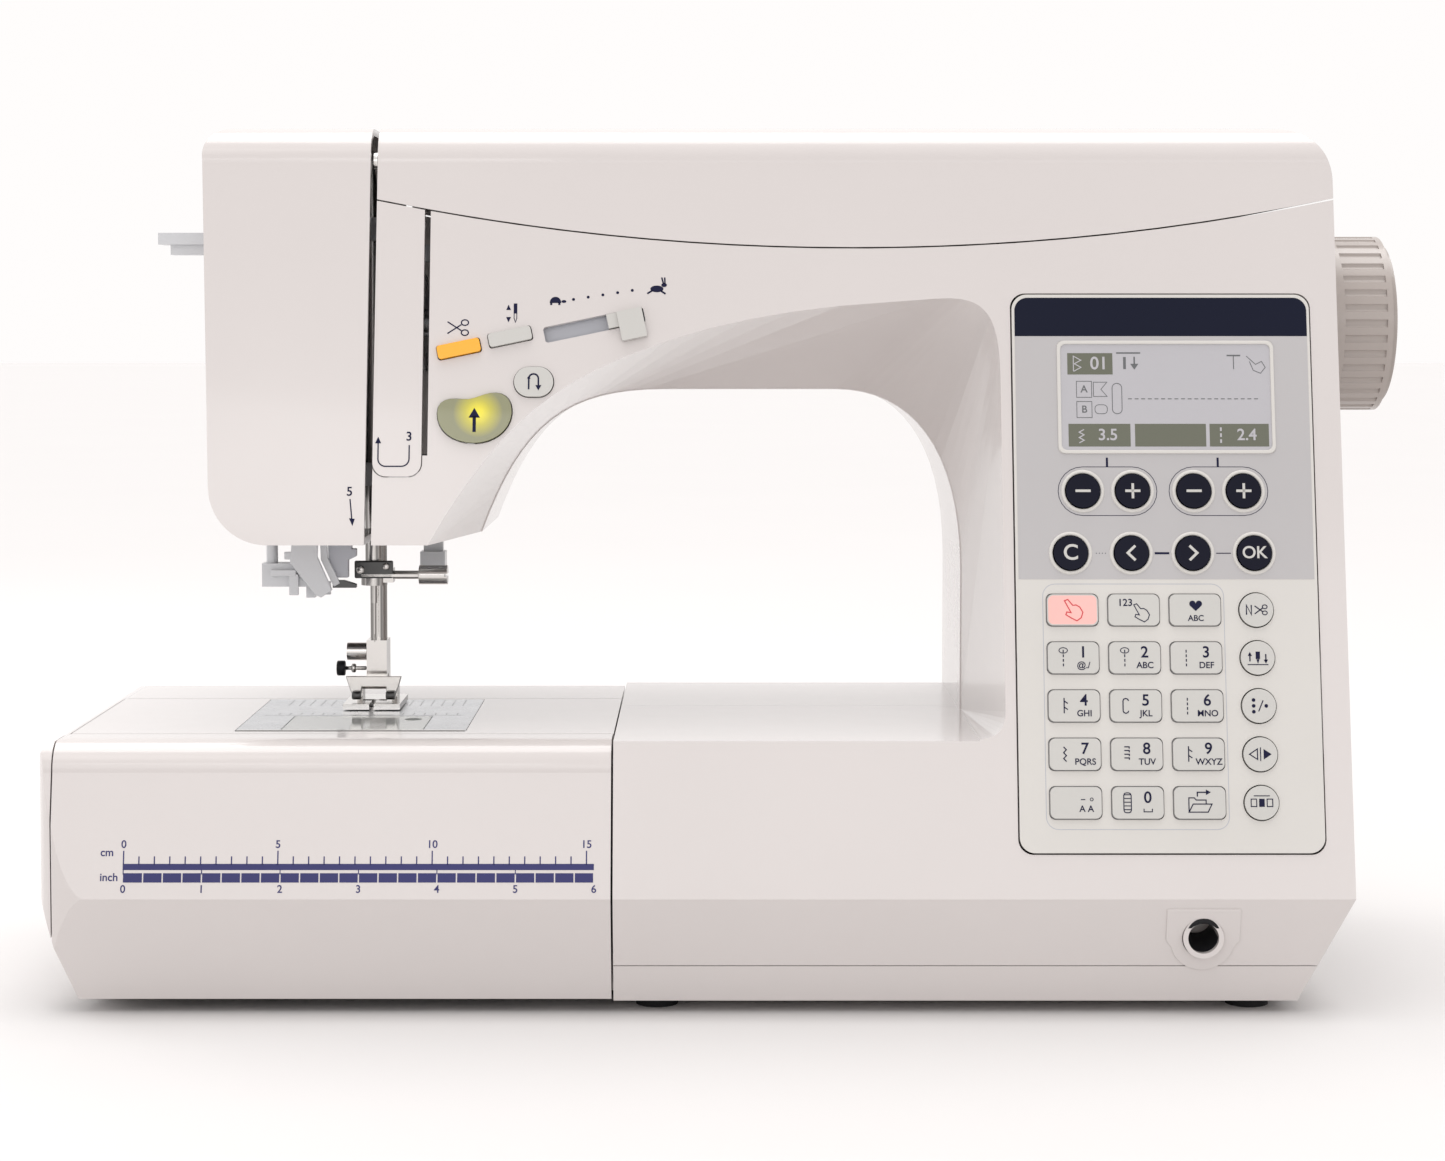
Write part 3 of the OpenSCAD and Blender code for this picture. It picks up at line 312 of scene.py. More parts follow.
def dress_cad_nodes():
    for name in NODES:
        obj = bpy.data.objects[name]
        obj.data.materials.clear()
        obj.data.materials.append(MATS[MAT_OF.get(name, "white")])
        smooth_edges(obj, BEVELS.get(name, 0.3))


dress_cad_nodes()

# ---------------------------------------------------------------- printed marks and small raised pieces


def link(obj):
    bpy.context.scene.collection.objects.link(obj)
    return obj


def finish_piece(obj, mat, body):
    obj.data.materials.append(MATS[mat])
    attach(obj, body)
    return obj


def bake(obj, place):
    """Turn a curve or text object into a mesh in the frame's own coordinates."""
    depsgraph = bpy.context.evaluated_depsgraph_get()
    mesh = bpy.data.meshes.new_from_object(obj.evaluated_get(depsgraph))
    mesh.transform(place)
    name = obj.name
    bpy.data.objects.remove(obj)
    return link(bpy.data.objects.new(name, mesh))


def join_meshes(name, parts):
    """Join meshes already in frame coordinates into one object."""
    joined = bmesh.new()
    for part in parts:
        joined.from_mesh(part.data)
        bpy.data.objects.remove(part)
    mesh = bpy.data.meshes.new(name)
    joined.to_mesh(mesh)
    joined.free()
    return link(bpy.data.objects.new(name, mesh))


def place_mesh(bm, name, place, smooth=False):
    """Turn a finished bmesh into an object in the frame's own coordinates."""
    bmesh.ops.recalc_face_normals(bm, faces=bm.faces)
    mesh = bpy.data.meshes.new(name)
    bm.to_mesh(mesh)
    bm.free()
    mesh.transform(place)
    for polygon in mesh.polygons:
        polygon.use_smooth = smooth
    return link(bpy.data.objects.new(name, mesh))


def filled(points_mm, place, height=0.06):
    """A thin raised slab from a closed outline given in millimetres."""
    bm = bmesh.new()
    verts = [bm.verts.new((x * MM, y * MM, -SUNK * MM)) for x, y in points_mm]
    face = bm.faces.new(verts)
    if face.normal.z < 0:
        face.normal_flip()
    top = bmesh.ops.extrude_face_region(bm, geom=[face])
    moved = [v for v in top["geom"] if isinstance(v, bmesh.types.BMVert)]
    bmesh.ops.translate(bm, verts=moved, vec=(0, 0, (height + SUNK) * MM))
    return place_mesh(bm, "fill", place)


def stroke(points_mm, width, place, closed=False, height=0.06):
    """A ribbon of even width along a line given in millimetres, as joined slabs."""
    points = [Vector(p) for p in points_mm]
    count = len(points)
    sides = []
    for i, point in enumerate(points):
        before = points[i - 1] if i or closed else None
        after = points[(i + 1) % count] if i < count - 1 or closed else None
        dirs = [(b - a).normalized() for a, b in ((before, point), (point, after))
                if a is not None and b is not None]
        normals = [Vector((-d.y, d.x)) for d in dirs]
        mitre = sum(normals, Vector((0, 0)))
        if mitre.length < 0.05:
            mitre = normals[0]
        mitre.normalize()
        reach = width / 2 / max(0.45, mitre.dot(normals[0]))
        sides.append((point + mitre * reach, point - mitre * reach))
    bm = bmesh.new()
    rings = []
    for left, right in sides:
        rings.append([bm.verts.new((p.x * MM, p.y * MM, z * MM))
                      for p, z in ((left, -SUNK), (left, height), (right, height), (right, -SUNK))])
    last = count if closed else count - 1
    for i in range(last):
        a = rings[i]
        b = rings[(i + 1) % count]
        for k in range(4):
            bm.faces.new((a[k], a[(k + 1) % 4], b[(k + 1) % 4], b[k]))
    if not closed:
        bm.faces.new(rings[0][::-1])
        bm.faces.new(rings[-1])
    return place_mesh(bm, "stroke", place)


def words(text, size_mm, place, x=0.0, y=0.0, height=0.06):
    """Digits or a generic key label, centred on a point."""
    depth = 0.10
    data = bpy.data.curves.new("label", "FONT")
    data.body = text
    data.size = size_mm * MM
    data.align_x = "CENTER"
    data.align_y = "CENTER"
    data.extrude = depth * MM
    data.offset = size_mm * 0.014 * MM
    obj = link(bpy.data.objects.new("label", data))
    return bake(obj, place @ Matrix.Translation((x * MM, y * MM, (height - depth) * MM)))


def arc(cx, cy, r, start, end, steps=12):
    angles = [math.radians(start + (end - start) * i / steps) for i in range(steps + 1)]
    return [(cx + r * math.cos(a), cy + r * math.sin(a)) for a in angles]


def oval(cx, cy, rx, ry, steps=24):
    return [(cx + rx * math.cos(math.tau * i / steps), cy + ry * math.sin(math.tau * i / steps))
            for i in range(steps)]


def rounded(x0, y0, x1, y1, r, steps=6):
    return (arc(x1 - r, y1 - r, r, 0, 90, steps) + arc(x0 + r, y1 - r, r, 90, 180, steps)
            + arc(x0 + r, y0 + r, r, 180, 270, steps) + arc(x1 - r, y0 + r, r, 270, 360, steps))


def box_outline(x0, y0, x1, y1):
    return [(x0, y0), (x1, y0), (x1, y1), (x0, y1)]


def up(dz):
    """Distance up the leaning face for a rise in height."""
    return dz / math.cos(LEAN_ANGLE)


def mark(name, parts, mat="ink", body=ROOT):
    return finish_piece(join_meshes(name, parts), mat, body)


# Control panel -----------------------------------------------------------------

PANEL_X = (panel_low.x + panel_high.x) / 2
PANEL_Z = (panel_low.z + panel_high.z) / 2
PANEL_W = (panel_high.x - panel_low.x) / MM
PANEL_H = up((panel_high.z - panel_low.z) / MM) - 0.6
PANEL_OUT = 0.5 * MM
PANEL_RIM = 0.9
PANEL_CORNER = 4.4
HEADER_H = 13.0
FILM_LOW_Z = 141.0
FILM_UP = 0.08
KEY_TOP = 0.9
ROUND_KEY_TOP = 1.1


def on_panel(x_mm, z_mm, out=0.0):
    return face_matrix(x_mm * MM, z_mm * MM, PANEL_OUT + out)


def panel_films():
    """Navy header band and the silver film below it, cut out for the round keys and the screen."""
    place = face_matrix(PANEL_X, PANEL_Z, PANEL_OUT)
    x1 = PANEL_W / 2 - PANEL_RIM
    y1 = PANEL_H / 2 - PANEL_RIM
    r = PANEL_CORNER
    header_low = y1 - HEADER_H
    film_low = up(FILM_LOW_Z - PANEL_Z / MM)
    round_top = arc(x1 - r, y1 - r, r, 0, 90) + arc(-x1 + r, y1 - r, r, 90, 180)
    mark("header_band", [filled([(x1, header_low), *round_top, (-x1, header_low)], place, 0.12)], "navy_ink")
    holes = [(x - PANEL_X / MM, up(ADJUST_Z - PANEL_Z / MM)) for x in ADJUST_X]
    holes += [(x - PANEL_X / MM, up(MENU_Z - PANEL_Z / MM)) for x in MENU_X]
    film = filled([(-x1, film_low), (x1, film_low), (x1, header_low - 0.02), (-x1, header_low - 0.02)],
                  place, FILM_UP)
    hole_r = KEY_R + 0.35
    cutters = [cutter(oval(x, y, hole_r, hole_r, 40), place) for x, y in holes]
    lcd_x = LCD_X - PANEL_X / MM
    lcd_y = up(LCD_Z - PANEL_Z / MM)
    window = rounded(lcd_x - LCD_W / 2, lcd_y - LCD_H / 2, lcd_x + LCD_W / 2, lcd_y + LCD_H / 2, 2)
    cutters.append(cutter(window, place))
    cut(film, cutters)
    film.name = "silver_film"
    finish_piece(film, "silver", ROOT)


def cutter(outline, place):
    """A block that reaches through any thin piece lying on the place."""
    return filled(outline, place @ Matrix.Translation((0, 0, -2 * MM)), 5)


def cut(obj, cutters):
    """Subtract cutters from a mesh and keep the result."""
    for block in cutters:
        hole = obj.modifiers.new("cut", "BOOLEAN")
        hole.operation = "DIFFERENCE"
        hole.solver = "EXACT"
        hole.object = block
    depsgraph = bpy.context.evaluated_depsgraph_get()
    mesh = bpy.data.meshes.new_from_object(obj.evaluated_get(depsgraph))
    obj.modifiers.clear()
    obj.data = mesh
    for block in cutters:
        bpy.data.objects.remove(block)


ADJUST_X = [115, 131.4, 151.6, 168]
ADJUST_Z = 169.6
MENU_X = [110.6, 130.6, 150.8, 171]
MENU_Z = 149.4
KEY_R = 5.6
LCD_X, LCD_Z, LCD_W, LCD_H = 143.2, 200.5, 72, 38
KEYS_X, KEYS_Z, PITCH_X, PITCH_Z = 110.8, 131, 20.1, 15.4


def ring(place, r_in, r_out, height):
    """A turned ring with a rounded crest, its outline closed underneath."""
    section = [(r_in, -0.3), (r_in, height * 0.6), (r_in + 0.15, height), (r_out - 0.3, height * 0.85),
               (r_out, -0.3)]
    return lathe("ring", [*section, section[0]], place, 48)


def panel_marks():
    """Rings round the round keys, the lines and dots about them, and painted shade along the groove round the
    keypad.
    """
    centres = [(x, ADJUST_Z) for x in ADJUST_X] + [(x, MENU_Z) for x in MENU_X]
    rings = [ring(on_panel(x, z), KEY_R + 0.3, KEY_R + 1.7, 0.5) for x, z in centres]
    mark("key_rings", rings, "panel", ROOT)
    parts = []
    for a, b in ((0, 1), (2, 3)):
        middle = (ADJUST_X[a] + ADJUST_X[b]) / 2
        half = (ADJUST_X[b] - ADJUST_X[a]) / 2
        place = on_panel(middle, ADJUST_Z, FILM_UP * MM)
        outline = arc(half, 0, 8.1, -90, 90) + arc(-half, 0, 8.1, 90, 270)
        parts.append(stroke(outline, 0.22, place, True, 0.03))
        parts.append(filled(box_outline(-0.35, 8.1, 0.35, 11.2), place))
    for i in range(4):
        parts.append(filled(oval(-1.5 + i, 0, 0.16, 0.16, 8), on_panel(120.6, MENU_Z, FILM_UP * MM)))
    parts.append(filled(box_outline(-2.4, -0.35, 2.4, 0.35), on_panel(140.7, MENU_Z, FILM_UP * MM)))
    parts.append(filled(box_outline(-2.4, -0.15, 2.4, 0.15), on_panel(160.9, MENU_Z, FILM_UP * MM)))
    mark("panel_lines", parts)
    # Grey line drawn along the groove round the keypad: painted shade of the groove
    groove = rounded(-9.6, up(-4 * PITCH_Z) - 8.6, 2 * PITCH_X + 9.6, 8.6, 4)
    mark("keypad_groove_shade", [stroke(groove, 0.25, on_panel(KEYS_X, KEYS_Z), True, 0.03)], "grey", ROOT)


def round_key_symbols():
    """Minus and plus on the adjust keys, letters and arrows on the menu keys."""
    for i, x in enumerate(ADJUST_X):
        place = on_panel(x, ADJUST_Z, ROUND_KEY_TOP * MM)
        parts = [filled(box_outline(-2.5, -0.42, 2.5, 0.42), place)]
        if i % 2:
            parts.append(filled(box_outline(-0.42, -2.5, 0.42, 2.5), place))
        name = f"adjust_key_{i + 1}"
        mark(f"{name}_symbol", parts, "light", f"{name}_body")
    for i, x in enumerate(MENU_X):
        place = on_panel(x, MENU_Z, ROUND_KEY_TOP * MM)
        side = 1 if i == 2 else -1
        if i in (1, 2):
            parts = [stroke([(-side * 1.2, 2.4), (side * 1.3, 0), (-side * 1.2, -2.4)], 0.85, place)]
        else:
            parts = [words("C" if i == 0 else "OK", 7.2 if i == 0 else 5.6, place)]
        name = f"menu_key_{i + 1}"
        mark(f"{name}_symbol", parts, "light", f"{name}_body")


def screen():
    """Bezel, glass and the segments that the display shows."""
    place = on_panel(LCD_X, LCD_Z)
    w = LCD_W / 2
    h = LCD_H / 2
    bezel = filled(rounded(-w, -h, w, h, 2.5), place, 0.55)
    cut(bezel, [cutter(rounded(-w + 1.2, -h + 1.2, w - 1.2, h - 1.2, 1.8), place)])
    bezel.name = "screen_bezel"
    finish_piece(bezel, "panel", ROOT)
    round_off(bezel, 0.25)
    glass = filled(rounded(-w + 1.1, -h + 1.1, w - 1.1, h - 1.1, 1.8), place, 0.12)
    glass.name = "screen_glass"
    finish_piece(glass, "screen", ROOT)
    shown = place @ Matrix.Translation((0, 0, 0.1 * MM))
    bars = [(-32.5, -12), (-10.5, 13), (14.2, 33.8)]
    olive = [filled(box_outline(a, -16.6, b, -9.0), shown) for a, b in bars]
    olive.append(filled(box_outline(-32.5, 7.6, -17.5, 14.8), shown))
    mark("screen_bars", olive, "olive_ink", ROOT)
    light = [words("3.5", 5.4, shown, -19.5, -12.8, 0.12), words("2.4", 5.4, shown, 26.5, -12.8, 0.12),
             words("01", 6.0, shown, -22, 11.2, 0.12)]
    zigzag = [(-29 + 1.6 * (i % 2), -15.4 + 0.9 * i) for i in range(6)]
    light.append(stroke(zigzag, 0.35, shown, False, 0.12))
    light.append(stroke([(-30.5, 8.6), (-30.5, 13.8), (-28, 12.4), (-30.2, 11.2), (-28, 10), (-30.5, 8.6)],
                        0.3, shown, False, 0.12))
    light += [filled(box_outline(17.6, -15.4 + 2 * i, 18.2, -14.2 + 2 * i), shown, 0.12) for i in range(3)]
    mark("screen_digits", light, "screen", ROOT)
    dark = [filled(box_outline(-12.6 + 2.2 * i, -0.75, -11.3 + 2.2 * i, -0.45), shown) for i in range(20)]
    for y in (2.6, -4.2):
        dark.append(stroke(box_outline(-29.6, y - 2.7, -24.6, y + 2.7), 0.22, shown, True))
    dark.append(words("A", 3.4, shown, -27.1, 2.6))
    dark.append(words("B", 3.4, shown, -27.1, -4.2))
    dark.append(stroke([(-24, 5.0), (-19.5, 5.0), (-21.5, 2.6), (-19.5, 0.2), (-24, 0.2)], 0.22, shown, True))
    dark.append(stroke(rounded(-23.6, -5.6, -19.5, -2.6, 1.2, 3), 0.22, shown, True))
    dark.append(stroke(rounded(-17.8, -5.6, -14.6, 4.6, 1.5, 4), 0.25, shown, True))
    dark.append(filled(box_outline(-16.2, 14.6, -8.2, 15.1), shown))
    dark.append(stroke([(-13.5, 13.5), (-13.5, 9.4)], 0.9, shown))
    dark.append(filled([(-11.6, 11.2), (-8.9, 11.2), (-10.25, 9.2)], shown))
    dark.append(stroke([(-10.25, 13.6), (-10.25, 11)], 0.5, shown))
    dark.append(stroke([(27, 13.8), (30, 11), (32, 12), (33.2, 10), (31.6, 8), (29.2, 9), (28, 12)], 0.25,
                       shown))
    dark.append(stroke([(20.5, 14), (25, 14)], 0.5, shown))
    dark.append(stroke([(22.7, 13.8), (22.7, 9.4)], 0.3, shown))
    mark("screen_lines", dark, "screen_ink", ROOT)


def round_off(obj, width_mm):
    """Bevel the edges of a small visual-only piece."""
    bevel = obj.modifiers.new("bevel", "BEVEL")
    bevel.width = width_mm * MM
    bevel.segments = 2
    bevel.limit_method = "ANGLE"
    bevel.angle_limit = math.radians(35)


def stitch(kind, x, y):
    """A small stitch diagram as lines, in millimetres about a point."""
    if kind == 0:
        return [[(x, y + 2.6 - 1.5 * i), (x, y + 1.7 - 1.5 * i)] for i in range(4)]
    if kind == 1:
        return [[(x + 0.9 * (i % 2) - 0.45, y + 2.4 - 0.95 * i) for i in range(6)]]
    if kind == 2:
        return [[(x - 0.8, y + 2.4 - 1.2 * i), (x + 0.8, y + 2.4 - 1.2 * i), (x + 0.8, y + 1.8 - 1.2 * i)]
                for i in range(4)]
    if kind == 3:
        return [[(x, y + 2.6), (x, y - 2.4)], [(x, y + 1.6), (x + 1.2, y + 0.8)],
                [(x, y - 0.4), (x + 1.2, y - 1.2)]]
    return [rounded(x - 0.9, y - 2.4, x + 0.9, y + 2.4, 0.8, 2)]


HAND = [(-2.6, 3.0), (-1.5, 3.4), (0.1, 1.5), (1.2, 1.6), (2.4, 0.9), (3.4, -0.8), (2.8, -2.6), (1.4, -3.6),
        (-0.4, -2.7), (-2.2, -1.6), (-1.9, -0.7), (-0.5, -0.9)]
LETTERS = ("@./", "ABC", "DEF", "GHI", "JKL", "MNO", "PQRS", "TUV", "WXYZ")


def shifted(points, dx, dy=0.0, scale=1.0):
    return [(x * scale + dx, y * scale + dy) for x, y in points]


def heart(x, y, r):
    lobes = [*arc(x + r, y, r, -35, 180, 8), *arc(x - r, y, r, 0, 215, 8)]
    return lobes + [(x, y - 2.3 * r)]


def key_place(row, col, out_mm=KEY_TOP):
    return on_panel(KEYS_X + col * PITCH_X, KEYS_Z - row * PITCH_Z, out_mm * MM)


def top_row_marks():
    """Marks of the two unlit keys above the digits: 123 with a hand, and a heart over ABC."""
    place = key_place(0, 1)
    lines = [words("123", 3.3, place, -2.8, 2.3), stroke(shifted(HAND, 2.2, -0.9, 0.85), 0.3, place, True)]
    place = key_place(0, 2)
    lines += [filled(heart(0.2, 2.0, 1.05), place), words("ABC", 2.7, place, 0.2, -2.8)]
    return lines


def bottom_row_marks():
    """Marks of the lowest row: accented letters, zero with stitch and space signs, and a folder."""
    place = key_place(4, 0)
    lines = [words("A A", 2.9, place, 3.4, -2.0), filled(box_outline(1.6, 0.9, 3.0, 1.2), place),
             stroke(oval(5.1, 1.1, 0.5, 0.5, 8), 0.22, place, True)]
    place = key_place(4, 1)
    lines += [stroke(rounded(-4.6, -3.2, -2.2, 3.2, 0.8, 2), 0.32, place, True),
              words("0", 5.2, place, 3.2, 1.6),
              stroke([(1.9, -1.9), (1.9, -2.9), (4.6, -2.9), (4.6, -1.9)], 0.3, place)]
    lines += [stroke([(-4.4, 2.6 - 1.2 * i), (-2.4, 2.6 - 1.2 * i)], 0.3, place) for i in range(5)]
    place = key_place(4, 2)
    tab = [(-3.6, -3), (-3.6, 1.6), (-1.8, 1.6), (-1.2, 0.9), (2.0, 0.9), (2.0, -0.4)]
    lines += [stroke(tab, 0.34, place),
              stroke([(-3.6, -3), (-2.2, -0.4), (3.9, -0.4), (2.6, -3)], 0.34, place, True),
              stroke([(-0.8, 2.0), (-0.8, 3.4), (2.2, 3.4)], 0.4, place),
              filled([(2.0, 2.5), (2.0, 4.3), (3.6, 3.4)], place)]
    return lines


def keypad_marks():
    """Marks of all the keys, the lit key's cap with its glow painted pink, and painted shade in the gap round
    each number key.
    """
    lines = top_row_marks() + bottom_row_marks()
    for number, letters in enumerate(LETTERS, 1):
        place = key_place(1 + (number - 1) // 3, (number - 1) % 3)
        lines.append(words(str(number), 5.2, place, 3.2, 1.7))
        lines.append(words(letters, 2.9, place, 3.3, -2.5))
        for line in stitch((number - 1) % 5 if number > 3 else 0, -3.3, 0):
            lines.append(stroke(line, 0.36, place))
        if number < 3:
            lines.append(stroke(oval(-3.3, 2.4, 1.4, 0.9, 12), 0.26, place, True))
    mark("number_key_marks", lines, "ink", "number_keys_body")
    mark("function_key_marks", function_symbols(), "ink", "function_keys_body")
    # The lit key's cap: its glow is painted into the pink colour
    place = key_place(0, 0)
    mark("lit_key_cap", [filled(rounded(-7.9, -4.7, 7.9, 4.7, 1.7), place, 0.03)], "pink",
         "number_keys_body")
    mark("lit_key_hand", [stroke(HAND, 0.38, place, True)], "red_ink", "number_keys_body")
    # Dark rings sunk in the gaps round the number keys: painted shade
    rim = rounded(-8.45, -5.25, 8.45, 5.25, 2.1)
    gap_shade_rings = [stroke(rim, 0.24, key_place(row, col, -0.5), True, 0.3) for row in range(5) for col in range(3)]
    mark("key_gap_shade", gap_shade_rings, "rim", ROOT)


def function_symbols():
    """Marks of the function keys, the right-hand column, from top to bottom."""
    places = [key_place(row, 3) for row in range(5)]
    lines = [stroke([(-3.3, -1.6), (-3.3, 1.6), (-1.7, -1.6), (-1.7, 1.6)], 0.42, places[0])]
    for side in (-1, 1):
        lines.append(stroke([(-0.6, side * 1.3), (2.0, -side * 0.6)], 0.36, places[0]))
        lines.append(stroke(oval(2.7, -side * 1.0, 0.8, 0.65, 10), 0.3, places[0], True))
    for x, tip in ((-2.6, 1.0), (2.6, -1.0)):
        lines.append(stroke([(x, -1.2), (x, 1.2)], 0.42, places[1]))
        lines.append(filled(shifted([(-0.7, 0), (0.7, 0), (0, 1.3 * tip)], x, 0.6 * tip), places[1]))
    lines += [filled(box_outline(-0.7, -0.4, 0.7, 2.0), places[1]),
              filled([(-0.5, -0.5), (0.5, -0.5), (0, -2)], places[1]),
              filled(box_outline(-3.4, -2.4, 3.4, -2.1), places[1])]
    lines += [filled(oval(-1.8, 1.9 * i, 0.62, 0.62, 10), places[2]) for i in (-1, 0, 1)]
    lines += [stroke([(-0.2, -1.8), (1.3, 1.8)], 0.34, places[2]),
              filled(oval(2.3, 0, 0.62, 0.62, 10), places[2])]
    lines += [stroke([(-1.0, -1.7), (-1.0, 1.7), (-3.6, 0)], 0.34, places[3], True),
              filled([(1.0, -1.7), (1.0, 1.7), (3.6, 0)], places[3]),
              filled(box_outline(-0.15, -2.2, 0.15, 2.2), places[3])]
    lines += [stroke(box_outline(-3.5, -1.2, -1.7, 1.2), 0.3, places[4], True),
              filled(box_outline(-0.9, -1.3, 0.9, 1.3), places[4]),
              stroke(box_outline(1.7, -1.2, 3.5, 1.2), 0.3, places[4], True),
              filled(box_outline(-2.6, 2.1, 2.6, 2.4), places[4])]
    return lines


# Front of the head ----------------------------------------------------------------


def turtle_and_hare(place_slow, place_fast):
    """Signs for the slow and the fast end of the speed slider."""
    parts = [filled(arc(0, 0, 1.9, 0, 180, 10) + [(-1.9, -0.2), (1.9, -0.2)], place_slow)]
    parts.append(filled(oval(2.8, 0.3, 0.85, 0.5, 10), place_slow))
    parts += [filled(box_outline(x - 0.35, -0.9, x + 0.35, 0.1), place_slow) for x in (-1.4, 1.3)]
    parts.append(filled(oval(-0.2, 0, 2.2, 1.15, 16), place_fast))
    parts.append(filled(oval(2.2, 1.3, 0.95, 0.7, 12), place_fast))
    parts.append(stroke([(2.0, 1.7), (1.4, 3.9)], 0.5, place_fast))
    parts.append(stroke([(2.5, 1.7), (2.4, 3.9)], 0.5, place_fast))
    parts.append(stroke([(-1.6, -0.5), (-3.4, -1.6)], 0.6, place_fast))
    parts.append(stroke([(1.0, -0.6), (2.7, -1.7)], 0.6, place_fast))
    return parts


def on_head(x_mm, z_mm, out_mm=0.0):
    return face_matrix(x_mm * MM, z_mm * MM, out_mm * MM)


def head_marks():
    """Speed signs, key signs and threading numbers on the head, and the arrows on two buttons."""
    parts = turtle_and_hare(on_head(-59.5, 232), on_head(-25.5, 236.5))
    for i in range(5):
        parts.append(filled(oval(0, 0, 0.5, 0.5, 12), on_head(-53.5 + 4.9 * i, 233 + 0.75 * i)))
    place = on_head(-92, 223.6)
    for side in (-1, 1):
        parts.append(stroke([(-3.4, side * 2.0), (1.2, -side * 1.0)], 0.42, place))
        parts.append(stroke(oval(2.4, -side * 1.7, 1.2, 0.95, 14), 0.4, place, True))
    place = on_head(-74, 228.3)
    parts.append(filled(box_outline(0.6, 0, 1.8, 3.4), place))
    parts.append(stroke([(0.75, 0), (0.75, -1.6), (1.2, -3.0), (1.65, -1.6), (1.65, 0)], 0.25, place))
    parts.append(filled([(-1.9, 1.2), (-0.3, 1.2), (-1.1, 3.0)], place))
    parts.append(filled([(-1.9, -1.2), (-0.3, -1.2), (-1.1, -3.0)], place))
    bend = [(-4.6, 3.4), *arc(-2.1, -2.2, 2.5, 180, 270, 6), *arc(3.2, -2.2, 2.5, 270, 360, 6), (5.7, 2.4)]
    place = on_head(-113.2, 182.4, 0.22)
    parts.append(stroke(bend, 0.42, place))
    parts.append(filled([(-5.6, 3.0), (-3.6, 3.0), (-4.6, 5.2)], place))
    parts.append(words("3", 4.2, place, 5.6, 5.2))
    place = on_head(-126.8, 163)
    parts.append(stroke([(0, 4.2), (0.7, -2.4)], 0.42, place))
    parts.append(filled([(-0.2, -2.2), (1.7, -2.4), (0.95, -4.8)], place))
    parts.append(words("5", 4.2, place, -0.2, 6.6))
    mark("head_symbols", parts)
    place = on_head(-86, 193, 1.4)
    arrow = [stroke([(0, -4.2), (0, 1.2)], 1.1, place), filled([(-1.9, 0.6), (1.9, 0.6), (0, 3.9)], place)]
    mark("start_arrow", arrow, "ink", "start_stop_button_body")
    place = on_head(-66.5, 205.5, 1.2)
    turn = [(-1.6, -2.6), (-1.6, 1.0), *arc(0, 1.0, 1.6, 180, 0, 8), (1.6, -1.4)]
    arrow = [stroke(turn, 0.55, place), filled([(0.6, -1.2), (2.6, -1.2), (1.6, -3.0)], place)]
    mark("reverse_arrow", arrow, "ink", "reverse_button_body")


# Rulers on the accessory lid ---------------------------------------------------------


def rulers():
    x0, line_z, inch = -198.0, 49.2, 25.4
    place = face_matrix(x0 * MM, line_z * MM)
    parts = [filled(box_outline(-0.2, -1.0, 6 * inch, 1.0), place)]
    for half_cm in range(31):
        x = half_cm * 5
        tall = 5.2 if half_cm % 10 == 0 else 3.4
        parts.append(filled(box_outline(x - 0.2, 0.6, x + 0.2, tall), place))
    for cell in range(24):
        a = cell * inch / 4 + (0.0 if cell == 0 else 0.22)
        parts.append(filled(box_outline(a, -5.0, (cell + 1) * inch / 4 - 0.22, -2.0), place))
    for i in range(7):
        parts.append(words(str(i), 3.5, place, i * inch, -7.2))
        if i < 6:
            parts.append(filled(box_outline(i * inch - 0.15, -2.4, i * inch + 0.15, -0.8), place))
    for cm in (0, 5, 10, 15):
        parts.append(words(str(cm), 3.5, place, cm * 10, 7.2))
    parts.append(words("cm", 3.6, place, -5.4, 4.6))
    parts.append(words("inch", 3.6, place, -4.6, -3.4))
    mark("ruler_marks", parts, "blue_ink", "table_lid")


# Needle plate -------------------------------------------------------------------------


def plate_marks():
    """Guide lines on both sides of the needle and a line across the plate behind the bobbin cover."""
    place = Matrix.Translation((0, 0, BED_Z))
    x0, x1 = plate_low.x / MM, plate_high.x / MM
    parts = []
    for i in range(6):
        for side in (-1, 1):
            x = NEEDLE_X + side * (12 + 3.8 * i)
            parts.append(filled(box_outline(x - 0.14, 2, x + 0.14, 17.5), place, 0.02))
            parts.append(filled(box_outline(x - 0.14, -21, x + 0.14, -16.5), place, 0.02))
    line_y = -22.3
    parts.append(filled(box_outline(x0 + 4, line_y - 0.12, x1 - 4, line_y + 0.12), place, 0.02))
    mark("plate_lines", parts, "screen_ink", ROOT)


# Small visible pieces -------------------------------------------------------------------


def lathe(name, section_mm, place, steps=40):
    """Turn an outline of (radius, height) points about local Z, merging points that meet."""
    bm = bmesh.new()
    rings = []
    for i in range(steps):
        a = math.tau * i / steps
        rings.append([bm.verts.new((r * math.cos(a) * MM, r * math.sin(a) * MM, z * MM))
                      for r, z in section_mm])
    for i in range(steps):
        for k in range(len(section_mm) - 1):
            bm.faces.new((rings[i - 1][k], rings[i][k], rings[i][k + 1], rings[i - 1][k + 1]))
    bmesh.ops.remove_doubles(bm, verts=bm.verts, dist=1e-7)
    return place_mesh(bm, name, place, True)


def slider_floor():
    """Grey floor of the slot that the speed slider runs in."""
    place = on_head(-46.5, 224.5, -3.2) @ Matrix.Rotation(math.radians(12), 4, "Z")
    floor = filled(rounded(-18.5, -4.2, 18.5, 4.2, 1.5), place, 0.2)
    floor.name = "slider_slot_floor"
    finish_piece(floor, "grey", ROOT)


